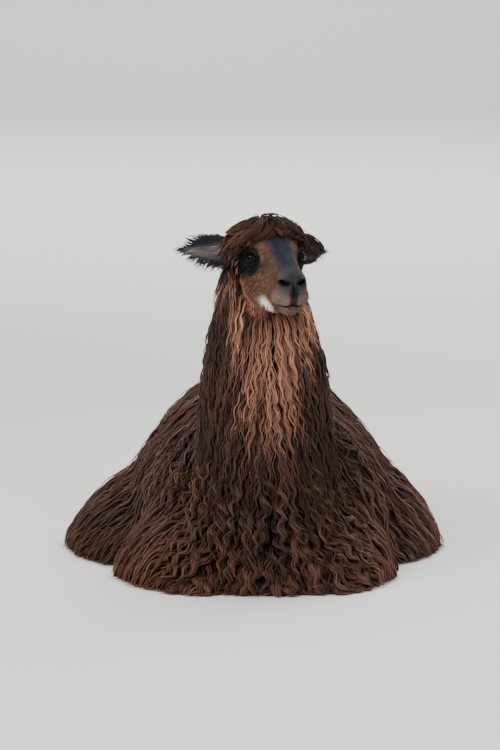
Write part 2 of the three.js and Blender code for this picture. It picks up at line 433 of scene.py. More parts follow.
@dataclass(frozen=True)
class SkinFinish(CoatFinish):
    """The finish of the skin: napped, painted dark as shade under the fleece, bare and damp on the nose and
    lips.
    """

    nap_stretch: Numbers = (1.0, 1.0, 0.55)
    nap_scale: float = 620.0
    broad_scale: float = 60.0
    pore_scale: float = 900.0
    bump: float = 0.55

    def paint(self, nodes: Nodes) -> None:
        """Lay colour, with painted shade under the fleece, roughness and nap on the shader."""
        fleece, bare, damp = nodes.attribute("skin")
        place = nodes.place()
        stretched = nodes.mapped(place, self.nap_stretch)
        nap = nodes.noise(stretched, self.nap_scale, self.noise_detail, self.noise_roughness)
        broad = nodes.noise(place, self.broad_scale, self.noise_detail)
        pores = nodes.noise(place, self.pore_scale, roughness=0.7)
        colour = self.coloured(nodes, broad)
        # The last factor is painted shade: the skin under the fleece is darkened.
        brightness_with_painted_shade = (0.45 + 0.62 * nap * (1.0 - 0.5 * bare)) * (0.8 + 0.4 * broad) * (1.0 - 0.62 * fleece)
        nodes.set(base_color=nodes.scaled(colour, brightness_with_painted_shade))
        nodes.set(roughness=0.72 - 0.24 * bare - 0.38 * damp + 0.12 * nap)
        nodes.set(normal=nodes.bump(nap * (1.0 - bare) + pores * bare * 0.6, self.bump, self.depth))


@dataclass(frozen=True)
class EyeFinish(Finish):
    """A wet, very dark brown eye with a level pupil."""

    name: str = "eye_wet"
    gloss: float = 0.09
    iris: Numbers = (0.0020, 0.0026, 0.0026, 1.0)
    rim: Numbers = (0.0014, 0.0018, 0.0018, 1.0)
    pupil: Numbers = (0.002, 0.002, 0.003, 1.0)
    white: Numbers = (0.004, 0.003, 0.003, 1.0)
    fibre_scale: float = 800.0
    fibre_detail: float = 3.0
    wet: float = 0.05

    def paint(self, nodes: Nodes) -> None:
        """Lay iris, pupil and corners over one another."""
        ring, pupil, white = nodes.attribute("iris")
        fibres = nodes.noise(nodes.place(), self.fibre_scale, self.fibre_detail)
        colour = nodes.mix(ring, self.iris, self.rim)
        colour = nodes.scaled(colour, 0.7 + 0.6 * fibres)
        colour = nodes.mix(pupil, colour, self.pupil)
        colour = nodes.mix(white, colour, self.white)
        nodes.set(base_color=colour, roughness=self.wet + 0.75 * white)


@dataclass(frozen=True)
class PlainFinish(Finish):
    """The pale finish of the studio's floor and backdrop."""

    name: str = "studio_pale"
    gloss: float = 0.2
    colour: Numbers = (0.68, 0.66, 0.62, 1.0)
    roughness: float = 0.85

    def paint(self, nodes: Nodes) -> None:
        """Lay the one colour on the shader."""
        nodes.set(base_color=self.colour, roughness=self.roughness)


# ---- Camera, floor and lights ----


@dataclass(frozen=True)
class Lamp:
    """One soft area light: where it is, its width and height, its power, and the place it shines at."""

    name: str
    place: Numbers
    size: Numbers
    power: float
    colour: Numbers
    aim: Numbers = (0.0, -0.1, 0.35)

    def hang(self) -> None:
        """Hang the light in the scene."""
        data = bpy.data.lights.new(self.name, "AREA")
        data.shape = "RECTANGLE"
        data.size, data.size_y = self.size
        data.energy = self.power
        data.color = self.colour
        holder = bpy.data.objects.new(self.name, data)
        holder.location = self.place
        aim = Vector(self.aim) - Vector(self.place)
        holder.rotation_euler = aim.to_track_quat("-Z", "Y").to_euler()
        bpy.context.scene.collection.objects.link(holder)


@dataclass
class Studio:
    """The camera, the floor with its rising backdrop, and the lights."""

    target: Numbers = (-0.014, -0.162, 0.42)
    azimuth: float = math.radians(-2.0)
    elevation: float = math.radians(9.0)
    distance: float = 7.5
    frame_height: float = 750 / 476
    sensor: float = 36.0
    sight: float = 60.0
    floor_half: float = 12.0
    floor_front: float = -9.0
    backdrop_at: float = 15.0
    backdrop_height: float = 8.0
    backdrop_bend: float = 3.5
    bend_segments: int = 16
    sky: Numbers = (0.84, 0.92, 1.0, 1.0)
    sky_strength: float = 0.52
    lamps: tuple[Lamp, ...] = (
        Lamp("key", (-3.6, -3.9, 3.7), (4.0, 1.5), 400.0, (0.98, 0.99, 1.0)),
        Lamp("top", (0.4, 0.4, 4.6), (3.4, 3.4), 210.0, (0.96, 0.98, 1.0)),
        Lamp("rim", (2.6, 3.2, 3.2), (2.6, 2.6), 110.0, (1.0, 0.98, 0.95)),
        Lamp("fill", (2.6, -4.6, 2.4), (2.8, 2.8), 120.0, (1.0, 0.98, 0.97)),
        Lamp("backdrop", (0.0, 5.5, 5.5), (8.0, 2.0), 1100.0, (0.97, 0.99, 1.0), (0.0, 13.0, 1.0)),
    )

    def camera(self) -> None:
        """Set the camera that gives the framing."""
        back = Vector((
            math.sin(self.azimuth) * math.cos(self.elevation),
            -math.cos(self.azimuth) * math.cos(self.elevation),
            math.sin(self.elevation),
        ))
        data = bpy.data.cameras.new("camera")
        data.sensor_width = self.sensor
        data.lens = self.sensor * self.distance / self.frame_height
        data.clip_end = self.sight
        camera = bpy.data.objects.new("camera", data)
        camera.location = Vector(self.target) + back * self.distance
        camera.rotation_euler = back.to_track_quat("Z", "Y").to_euler()
        bpy.context.scene.collection.objects.link(camera)
        bpy.context.scene.camera = camera

    def floor(self) -> bpy.types.Object:
        """Make the floor, curved up into the backdrop behind the animal.

        Returns:
            The floor, marked as stage.
        """
        bm = bmesh.new()
        half, front, back = self.floor_half, self.floor_front, self.backdrop_at
        corners = ((-half, front), (half, front), (half, back), (-half, back))
        base = bm.faces.new([bm.verts.new((x, y, 0.0)) for x, y in corners])
        back_edge = max(base.edges, key=lambda edge: sum(v.co.y for v in edge.verts))
        raised = bmesh.ops.extrude_edge_only(bm, edges=[back_edge])
        new_verts = [item for item in raised["geom"] if isinstance(item, bmesh.types.BMVert)]
        bmesh.ops.translate(bm, verts=new_verts, vec=(0.0, 0.0, self.backdrop_height))
        bmesh.ops.bevel(
            bm, geom=[back_edge], offset=self.backdrop_bend, segments=self.bend_segments, profile=0.5,
            affect="EDGES", material=-1,
        )
        bmesh.ops.recalc_face_normals(bm, faces=bm.faces)
        floor = finished("studio_floor", bm)
        floor.data.materials.append(PlainFinish().build())
        floor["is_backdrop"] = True
        return floor

    def lights(self) -> None:
        """Hang the soft lights and set the sky's even glow."""
        for lamp in self.lamps:
            lamp.hang()
        world = bpy.data.worlds.new("studio_sky")
        world.use_nodes = True
        background = world.node_tree.nodes["Background"]
        background.inputs["Color"].default_value = self.sky
        background.inputs["Strength"].default_value = self.sky_strength
        bpy.context.scene.world = world


# ---- Meshes as arrays ----


def smoothed(mesh: bpy.types.Mesh) -> None:
    """Shade all of a mesh's faces smooth."""
    mesh.polygons.foreach_set("use_smooth", np.ones(len(mesh.polygons), dtype=bool))


def finished(name: str, bm: bmesh.types.BMesh) -> bpy.types.Object:
    """Turn a bmesh into an object of the scene, shaded smooth.

    Args:
        name: The object's name.
        bm: The mesh, which is freed.

    Returns:
        The object.
    """
    mesh = bpy.data.meshes.new(name)
    bm.to_mesh(mesh)
    bm.free()
    smoothed(mesh)
    made = bpy.data.objects.new(name, mesh)
    bpy.context.scene.collection.objects.link(made)
    return made


def put_attribute(mesh: bpy.types.Mesh, name: str, values: Array) -> None:
    """Store three numbers for each vertex."""
    layer = mesh.attributes.new(name, "FLOAT_VECTOR", "POINT")
    layer.data.foreach_set("vector", np.ascontiguousarray(values, dtype=np.float32).ravel())


class Surface:
    """A mesh held as arrays, for moves of many vertices at once."""

    def __init__(self, mesh: bpy.types.Mesh) -> None:
        """Read a mesh.

        Args:
            mesh: The mesh, whose faces are split into triangles here alone.
        """
        mesh.calc_loop_triangles()
        self.points = self._rows(mesh.vertices, "co", 3, float)
        self.edges = self._rows(mesh.edges, "vertices", 2, np.int64)
        self.triangles = self._rows(mesh.loop_triangles, "vertices", 3, np.int64)
        self.valence = np.bincount(self.edges.ravel(), minlength=len(self.points)).astype(float)

    @staticmethod
    def _rows(items: Any, name: str, width: int, kind: type) -> Array:
        """Read a property of each item of a mesh as one row of an array."""
        values = np.empty(len(items) * width, dtype=kind)
        items.foreach_get(name, values)
        return values.reshape(-1, width)

    def blur(self, values: Array, times: int, amount: Any = 0.5) -> Array:
        """Average each value with its neighbours'.

        Args:
            values: One row or number for each vertex.
            times: How many rounds.
            amount: How far towards the neighbours each round goes, a number or one for each vertex.

        Returns:
            The blurred values.
        """
        rows = np.array(values, dtype=float).reshape(len(self.points), -1)
        weight = np.broadcast_to(np.asarray(amount, dtype=float).reshape(-1, 1), (len(rows), 1))
        first, second = self.edges[:, 0], self.edges[:, 1]
        for _ in range(times):
            total = np.empty_like(rows)
            for column in range(rows.shape[1]):
                near = np.bincount(first, rows[second, column], len(rows))
                near += np.bincount(second, rows[first, column], len(rows))
                total[:, column] = near / self.valence
            rows = rows + (total - rows) * weight
        return rows.reshape(np.shape(values))

    def normals(self) -> Array:
        """Give the outward direction at each vertex."""
        a, b, c = (self.points[self.triangles[:, i]] for i in range(3))
        faces = np.cross(b - a, c - a)
        total = np.zeros_like(self.points)
        for corner in self.triangles.T:
            for axis in range(3):
                total[:, axis] += np.bincount(corner, faces[:, axis], len(self.points))
        return unit(total)


# ---- Where the animal's colours lie ----


@dataclass(frozen=True)
class Mouth:
    """The line of the mouth in the head's frame, bowed down on both sides of the lip's cleft."""

    front: float = 0.132
    corner: float = 0.074
    height: float = -0.081
    cleft_half: float = 0.018
    bow: float = 0.0055
    corner_rise: float = 0.017

    def line(self, forward: Array, side: Array) -> Array:
        """Give the height of the mouth's line.

        Args:
            forward: How far forward each place is.
            side: How far it is from the middle of the face.

        Returns:
            The line's height there.
        """
        run = 0.25 * np.clip(side / self.cleft_half, 0.0, 1.0)
        run = run + 0.75 * np.clip((self.front - forward) / (self.front - self.corner), 0.0, 1.0)
        return self.height - self.bow * bell(run, 0.32, 0.22) + self.corner_rise * ramp(0.55, 1.0, run)

    def inside(self, forward: Array) -> Array:
        """Tell whether a place is ahead of the corners of the mouth, from 0 to 1."""
        return ramp(self.corner - 0.003, self.corner + 0.008, forward)


@dataclass(frozen=True)
class Rise:
    """A smooth rise from 0 at low to 1 at high; low may be the larger one."""

    low: float
    high: float

    def at(self, value: Array) -> Array:
        """Give the rise at each value."""
        return ramp(self.low, self.high, value)


@dataclass(frozen=True)
class Spot:
    """A spot that is 1 at its middle and fades away over about its reach."""

    middle: float
    reach: float

    def at(self, value: Array) -> Array:
        """Give the spot's strength at each value."""
        return bell(value, self.middle, self.reach)


@dataclass(frozen=True)
class Mask:
    """A soft patch: how it runs along three axes, most often forward, to the side and up from the face."""

    forward: Rise | Spot | None = None
    side: Rise | Spot | None = None
    up: Rise | Spot | None = None

    def at(self, forward: Array, side: Array, up: Array) -> Array:
        """Give the patch, from 0 to 1, at each place."""
        runs = ((self.forward, forward), (self.side, side), (self.up, up))
        return math.prod(run.at(value) for run, value in runs if run)


class Patch(Enum):
    """The patches of the head that have a colour or a length of hair of their own."""

    BROW = Mask(Spot(0.038, 0.026), Spot(0.036, 0.016), Spot(0.020, 0.022))
    CHEEK = Mask(Spot(0.050, 0.036), Rise(0.010, 0.030), Spot(-0.050, 0.034))
    JAW = Mask(Rise(0.11, 0.06), None, Rise(-0.050, -0.090))
    MOUTH = Mask(Rise(0.080, 0.105), None, Rise(-0.046, -0.060))
    JOWL = Mask(Rise(0.002, -0.024), None, Rise(-0.018, -0.048))
    UNDER_JAW = Mask(Rise(0.080, 0.050), None, Rise(-0.074, -0.100))
    CROWN = Mask(Rise(0.03, 0.0), None, Rise(0.02, 0.06))
    NOSE = Mask(Rise(0.098, 0.120), None, Rise(-0.062, -0.046))
    CLEFT = Mask(Rise(0.112, 0.126), Rise(0.0090, 0.005), Rise(-0.086, -0.078))
    # Painted shade in the fold behind each nostril wing.
    NOSTRIL_FOLD_SHADE = Mask(Spot(0.103, 0.005), Rise(0.020, 0.026), Spot(-0.040, 0.016))
    # Slate laid darker in the hollow before each eye.
    EYE_HOLLOW_SLATE = Mask(Spot(0.038, 0.018), Spot(0.031, 0.007), Spot(-0.012, 0.016))
    # A painted glint at the inner corner of each eye.
    EYE_CORNER_GLINT = Mask(Spot(0.037, 0.006), Spot(0.043, 0.008), Spot(0.003, 0.006))
    MUZZLE = Mask(Rise(0.085, 0.105), None, Rise(-0.046, -0.058))
    LIPS = Mask(Rise(0.085, 0.105), Rise(0.006, 0.012), Rise(-0.046, -0.058))
    CHIN = Mask(Rise(0.07, 0.10), None, Rise(-0.086, -0.094))
    JAW_SPOT = Mask(Spot(0.038, 0.021), Rise(0.014, 0.028), Spot(-0.091, 0.011))
    # Painted shade on the brow under the topknot's fringe.
    UNDER_FRINGE_SHADE = Mask(Rise(-0.01, 0.01), Rise(0.032, 0.016), Rise(0.040, 0.054))

    def at(self, *places: Array) -> Array:
        """Give the patch, from 0 to 1, at each place given as forward, side and up."""
        return self.value.at(*places)


TAN_PATCHES = {Patch.BROW: 0.50, Patch.CHEEK: 0.65, Patch.JAW: 0.65, Patch.MOUTH: 0.40, Patch.JOWL: 0.9}
# Pale marks, with a painted glint at each eye's inner corner.
PALE_AND_GLINT_PATCHES = {
    Patch.JAW_SPOT: 2.0, Patch.LIPS: 0.07, Patch.CHIN: 0.05, Patch.NOSE: 0.02, Patch.EYE_CORNER_GLINT: 0.16,
}
# Black of the nose, with painted shade behind the nostrils and under the fringe.
BLACK_AND_SHADE_PATCHES = {Patch.NOSE: 0.15, Patch.NOSTRIL_FOLD_SHADE: 0.4, Patch.UNDER_FRINGE_SHADE: 0.6}


def summed(shares: dict[Patch, float], *places: Array) -> Array:
    """Add patches up by their shares, at places given as forward, side and up."""
    return sum(share * patch.at(*places) for patch, share in shares.items())


@dataclass(frozen=True)
class Markings:
    """The animal's markings as soft masks of place, the same for skin and hair, with painted shade and a
    painted glint among them.
    """

    head: HeadAxes
    mouth: Mouth = Mouth()
    throat_x: float = SPINE_X
    throat_half: float = 0.054
    throat_narrow: float = 0.60
    throat_narrowing: Rise = Rise(0.30, 0.50)
    throat_edge: Rise = Rise(1.25, 0.65)
    throat_front: Rise = Rise(-0.25, -0.32)
    throat_height: Rise = Rise(0.310, 0.50)
    throat_top: Rise = Rise(-0.02, -0.06)
    jaw_edge_right: float = -0.056
    jaw_edge_left: float = 0.080
    jaw_edge_soft: Numbers = (0.010, 0.012)
    behind_jaw: Mask = Mask(Rise(-0.095, -0.070), None, Rise(0.0, -0.034))
    behind_jaw_foot: Rise = Rise(-0.20, -0.15)
    # The collar: copper behind the jaw, where the fleece is also brightened as painted light.
    collar_band: Mask = Mask(Spot(-0.050, 0.028), None, Rise(-0.018, -0.040))
    collar_foot: Rise = Rise(-0.14, -0.09)
    collar_ends: tuple[Rise, Rise] = (Rise(-0.062, -0.038), Rise(0.112, 0.094))
    rust_low: Mask = Mask(Rise(0.16, -0.14), Rise(0.10, -0.20), Rise(0.19, 0.04))
    rust_chest: Mask = Mask(None, Rise(-0.16, -0.24), Rise(0.34, 0.28))
    nostril: Numbers = (0.018, -0.037)
    nostril_size: Numbers = (0.012, 0.007)

    def fleece(self, points: Array) -> Array:
        """Give copper, rust and tan for places in the long fleece.

        Args:
            points: Places in the model's frame.

        Returns:
            Three numbers from 0 to 1 for each point.
        """
        x, y, z = points.T
        forward, left, up = self.head.local(points).T
        half = self.throat_half * blend(self.throat_narrow, 1.0, self.throat_narrowing.at(z))
        throat = self.throat_front.at(y) * self.throat_edge.at(np.abs(x - self.throat_x) / half)
        throat = throat * self.throat_height.at(z) * self.throat_top.at(up)
        cheek = self.behind_jaw.at(forward, np.abs(left), up) * self.behind_jaw_foot.at(up)
        inner, outer = self.jaw_edge_soft
        left_edge = self.jaw_edge_left + 0.25 * (z - 0.5)
        cheek = cheek * ramp(self.jaw_edge_right - inner, self.jaw_edge_right + outer, x)
        cheek = cheek * ramp(left_edge + outer, left_edge - inner, x)
        copper = np.maximum(throat, 0.55 * cheek * (np.abs(left) < 0.09))
        copper = np.clip(np.maximum(copper, 0.95 * self.collar(points)), 0.0, 1.0)
        low, chest = self.rust_low.at(x, y, z), self.rust_chest.at(x, y, z)
        crown = Patch.CROWN.at(forward, np.abs(left), up)
        rust = np.clip(0.37 * low + 0.30 * crown + 0.12 * chest, 0.0, 1.0)
        return np.stack((copper, rust, np.zeros(len(points))), axis=-1)

    def collar(self, points: Array) -> Array:
        """Tell where the copper band behind the jaw is, from 0 to 1; the fleece there is also brightened as
        painted light.
        """
        forward, left, up = self.head.local(points).T
        band = self.collar_band.at(forward, np.abs(left), up) * self.collar_foot.at(up)
        return band * math.prod(end.at(points[:, 0]) for end in self.collar_ends)

    def warm(self, points: Array) -> Array:
        """Give copper, rust and tan for places on the skin and in the short hair.

        Args:
            points: Places in the model's frame.

        Returns:
            Three numbers from 0 to 1 for each point.
        """
        forward, left, up = self.head.local(points).T
        face = self.on_face(forward, left, up)
        places = (forward, np.abs(left), up)
        jowl = Patch.JOWL.at(*places)
        tan = face * np.clip(summed(TAN_PATCHES, *places), 0.0, 1.0)
        warm = self.fleece(points) * (1.0 - face)[:, None]
        copper = face * np.maximum(0.95 * jowl, 0.75 * Patch.UNDER_JAW.at(*places))
        warm[:, 0] = np.maximum(warm[:, 0], copper)
        warm[:, 2] = tan * (1.0 - 0.85 * jowl)
        return warm

    def cool(self, points: Array) -> Array:
        """Give slate, black and pale for places on the skin and in the short hair; black also lays painted
        shade, and pale a painted glint.

        Args:
            points: Places in the model's frame.

        Returns:
            Three numbers from 0 to 1 for each point.
        """
        forward, left, up = self.head.local(points).T
        side = np.abs(left)
        places = (forward, side, up)
        face = self.on_face(forward, left, up)
        ears = self.on_ears(*places)
        nose = Patch.NOSE.at(*places)
        pale = face * np.clip(summed(PALE_AND_GLINT_PATCHES, *places), 0.0, 1.0)
        # Black: the eye patches and the nose's own colour, plus painted shade in the openings, behind the
        # nostrils and under the fringe.
        black = summed(BLACK_AND_SHADE_PATCHES, *places) + self._around_eyes(*places) + self._shaded_openings(*places)
        slate = self._bridge(*places) * (1.0 - 0.32 * nose) + 0.16 * nose
        slate = slate + Patch.MUZZLE.at(*places) * (0.14 + 0.04 * Patch.CHIN.at(*places))
        slate = slate + 0.7 * Patch.EYE_HOLLOW_SLATE.at(*places)
        slate = face * slate * (1.0 - 0.8 * Patch.JAW_SPOT.at(*places)) + ears * 0.9
        # Painted shade: the skin under the fleece is laid black, except in the collar.
        painted_shade_under_fleece = (1.0 - face) * (1.0 - ears) * (1.0 - self.collar(points))
        black = face * np.clip(black, 0.0, 1.0) + 0.6 * painted_shade_under_fleece
        return np.stack((np.clip(slate, 0.0, 1.0), black, pale), axis=-1)

    @staticmethod
    def _bridge(forward: Array, side: Array, up: Array) -> Array:
        """Tell where the slate stripe down the bridge of the nose is, from 0 to 1."""
        half = blend(0.027, 0.021, ramp(0.0, 0.07, forward))
        top = ramp(-0.030, -0.012, up + 0.32 * forward * ramp(0.0, 0.06, forward))
        return ramp(1.60, 0.45, side / half) * top

    @staticmethod
    def _around_eyes(forward: Array, side: Array, up: Array) -> Array:
        """Tell where the black round the eyes is, drawn out behind them, from 0 to 1."""
        reach = np.where(forward < 0.006, 0.074, 0.025)
        height = np.where(up > -0.004, 0.028, 0.032)
        away = np.hypot((forward - 0.006) / reach, (up + 0.004) / height)
        return ramp(1.12, 0.80, away) * ramp(0.026, 0.036, side)

    def _shaded_openings(self, forward: Array, side: Array, up: Array) -> Array:
        """Tell how much painted shade is laid black in the nostrils, the lip's cleft and the mouth's line.

        Args:
            forward: How far forward each place is in the head's frame.
            side: How far it is from the middle of the face.
            up: How far up it is.

        Returns:
            A number for each place, 0 away from them.
        """
        cleft = Patch.CLEFT.at(forward, side, up) * blend(0.25, 1.0, ramp(-0.034, -0.044, up))
        place, size = self.nostril, self.nostril_size
        away = np.hypot((side - place[0]) / size[0], (up - place[1]) / size[1])
        nostril = ramp(0.108, 0.116, forward) * ramp(1.3, 0.8, away)
        seam = self.mouth.inside(forward) * bell(up - self.mouth.line(forward, side), 0.0, 0.0026)
        return 0.75 * cleft + 1.1 * nostril + 0.9 * seam

    @staticmethod
    def on_face(forward: Array, left: Array, up: Array) -> Array:
        """Tell where the short face hair is, from 0 to 1."""
        behind = -0.050 + 1.10 * np.clip(up, 0.0, 1.0) - 0.22 * np.clip(-up, 0.0, 0.09)
        edge = ramp(behind - 0.010, behind + 0.006, forward)
        foot = -0.125 + 0.35 * np.clip(-forward, 0.0, 0.07)
        return edge * ramp(0.11, 0.10, np.abs(left)) * ramp(foot - 0.007, foot + 0.007, up)

    @staticmethod
    def on_ears(forward: Array, side: Array, up: Array) -> Array:
        """Tell where the ears are, from 0 to 1."""
        return ramp(0.078, 0.086, side) * ramp(-0.075, -0.060, up)


# ---- The skin ----


@dataclass(frozen=True)
class Stroke:
    """One sculpting move in the head's frame, made on both sides.

    place and reach are forward, side and up; raise_by is out along the skin, and carry a move forward and up.
    """

    place: Numbers
    reach: Numbers
    raise_by: float = 0.0
    carry: Numbers = (0.0, 0.0, 0.0)


FACE_STROKES = (
    Stroke((0.030, 0.045, 0.020), (0.022, 0.014, 0.009), 0.0025),  # brow ridge over the eye
    Stroke((0.036, 0.040, -0.012), (0.014, 0.012, 0.014), -0.0035),  # hollow before the eye
    Stroke((0.030, 0.050, -0.034), (0.030, 0.016, 0.008), 0.0022),  # cheek crest under the eye
    Stroke((0.070, 0.036, -0.052), (0.026, 0.014, 0.016), -0.0030),  # hollow of the cheek
    Stroke((0.075, 0.020, -0.014), (0.045, 0.008, 0.012), 0.0012),  # edge of the nose bridge
    Stroke((0.112, 0.024, -0.030), (0.012, 0.010, 0.010), 0.0020),  # wing above the nostril
    Stroke((0.102, 0.030, -0.040), (0.006, 0.010, 0.016), -0.0028),  # fold behind the nostril
    Stroke((0.124, 0.029, -0.046), (0.010, 0.008, 0.010), 0.0024),  # outer wing of the nostril
    Stroke((0.118, 0.024, -0.066), (0.018, 0.014, 0.010), 0.0042),  # full upper lip
    Stroke((0.106, 0.035, -0.071), (0.020, 0.011, 0.013), 0.0044),  # side of the upper lip
    Stroke((0.045, 0.018, -0.110), (0.036, 0.022, 0.014), 0.0, (0.0, 0.0, -0.0045)),  # deep lower jaw
    Stroke((0.108, 0.000, -0.108), (0.018, 0.020, 0.012), 0.0, (0.0, 0.0, -0.0040)),  # hanging chin
    Stroke((0.118, 0.000, -0.100), (0.022, 0.020, 0.012), 0.0060),  # lower lip and chin
    Stroke((0.138, 0.000, -0.056), (0.012, 0.0022, 0.020), -0.0038),  # cleft of the upper lip
    Stroke((0.136, 0.000, -0.034), (0.010, 0.006, 0.008), -0.0012),  # dip between the nostrils
)


@dataclass
class Carver:
    """Carves the features of the skin, which is held as places and directions in the head's frame."""

    places: Array
    normals: Array
    mouth: Mouth
    mouth_depth: float = 0.0052
    nostril_depth: float = 0.010
    nostril_slant: float = math.radians(24.0)
    nostril: Numbers = (0.133, 0.0175, -0.037)
    rim_draw_left: Numbers = (-0.14, -0.45)
    rim_draw_right: Numbers = (0.02, -0.20)
    lift_left: float = -0.007
    lift_right: float = 0.004

    def carved(self) -> Array:
        """Carve the features in turn, and give the moved places."""
        for step in (self._stroke, self._press_mouth, self._sink_nostrils, self._wrap_lids, self._slim_ears):
            step()
        return self.places

    def _stroke(self) -> None:
        """Make the sculpting strokes on both sides."""
        mirrored = self.places.copy()
        mirrored[:, 1] = np.abs(mirrored[:, 1])
        for stroke in FACE_STROKES:
            away = (mirrored - np.array(stroke.place)) / np.array(stroke.reach)
            weight = np.exp(-np.sum(away**2, axis=1))[:, None]
            self.places = self.places + weight * (self.normals * stroke.raise_by + np.array(stroke.carry))

    def _press_mouth(self) -> None:
        """Press in the line of the mouth and puff the lips on both sides of it."""
        forward, left, up = self.places.T
        above = up - self.mouth.line(forward, np.abs(left))
        lips = 0.0022 * bell(above, 0.0060, 0.0055) + 0.0012 * bell(above, -0.0050, 0.0045)
        move = lips - self.mouth_depth * bell(above, 0.0, 0.0024)
        self.places = self.places + self.normals * (self.mouth.inside(forward) * move)[:, None]

    def _sink_nostrils(self) -> None:
        """Sink the two slanting nostrils and round their rims."""
        forward, left, up = self.places.T
        side, height = np.abs(left) - self.nostril[1], up - self.nostril[2]
        cos, sin = math.cos(self.nostril_slant), math.sin(self.nostril_slant)
        across = side * cos + height * sin
        upright = -side * sin + height * cos
        bend = upright - 18.0 * across**2 + 0.001
        near = ramp(0.105, 0.118, forward)
        hole = near * np.exp(-((across / 0.0085) ** 4) - (bend / 0.0034) ** 4)
        rim = near * np.exp(-((across / 0.0115) ** 4) - (bend / 0.0068) ** 4) - hole
        inward = np.array((-1.0, 0.0, 0.0))
        sunk = self.places + hole[:, None] * self.nostril_depth * inward
        self.places = sunk + self.normals * (0.0012 * rim)[:, None]

    def _wrap_lids(self) -> None:
        """Wrap the skin over each eyeball, leaving an almond opening."""
        moved = self.places.copy()
        for side in (-1.0, 1.0):
            eye = EyeShape(side)
            away = self.places - eye.middle
            distance = np.linalg.norm(away, axis=1)
            heading = away / np.maximum(distance, 1e-9)[:, None]
            edge = eye.opening(heading)
            near = ramp(0.030, 0.021, distance) * ramp(0.0, 0.35, heading @ eye.gaze)
            lid = eye.radius + blend(0.0012, 0.0026, ramp(0.0, 0.5, edge))
            lid = lid - 0.0013 * bell(edge, 0.72, 0.16) + 0.0012 * bell(edge, 0.30, 0.18)
            target = np.where(edge < 0.0, eye.radius - 0.003, lid)
            reach = blend(distance, target, near * ramp(1.15, 0.35, edge))
            moved = np.where((near > 0.0)[:, None], eye.middle + heading * reach[:, None], moved)
        self.places = moved

    def _slim_ears(self) -> None:
        """Draw the ears' rims in to leave room for their fringes, and set each ear's lie."""
        local, moved = self.places, self.places.copy()
        sides = ((-1.0, self.rim_draw_right, self.lift_right), (1.0, self.rim_draw_left, self.lift_left))
        for side, rims, lift in sides:
            ear = EarShape.of(local, side)
            mine = Markings.on_ears(local[:, 0], local[:, 1] * side, local[:, 2])
            reach, height, _ = ear.measured(local)
            draw = np.where(height > 0.0, *rims) * height
            moved = moved + ear.across * (draw * mine * ramp(0.15, 0.45, reach))[:, None]
            moved = moved + np.array((0.0, 0.0, lift)) * (mine * ramp(0.2, 0.5, reach))[:, None]
        self.places = moved


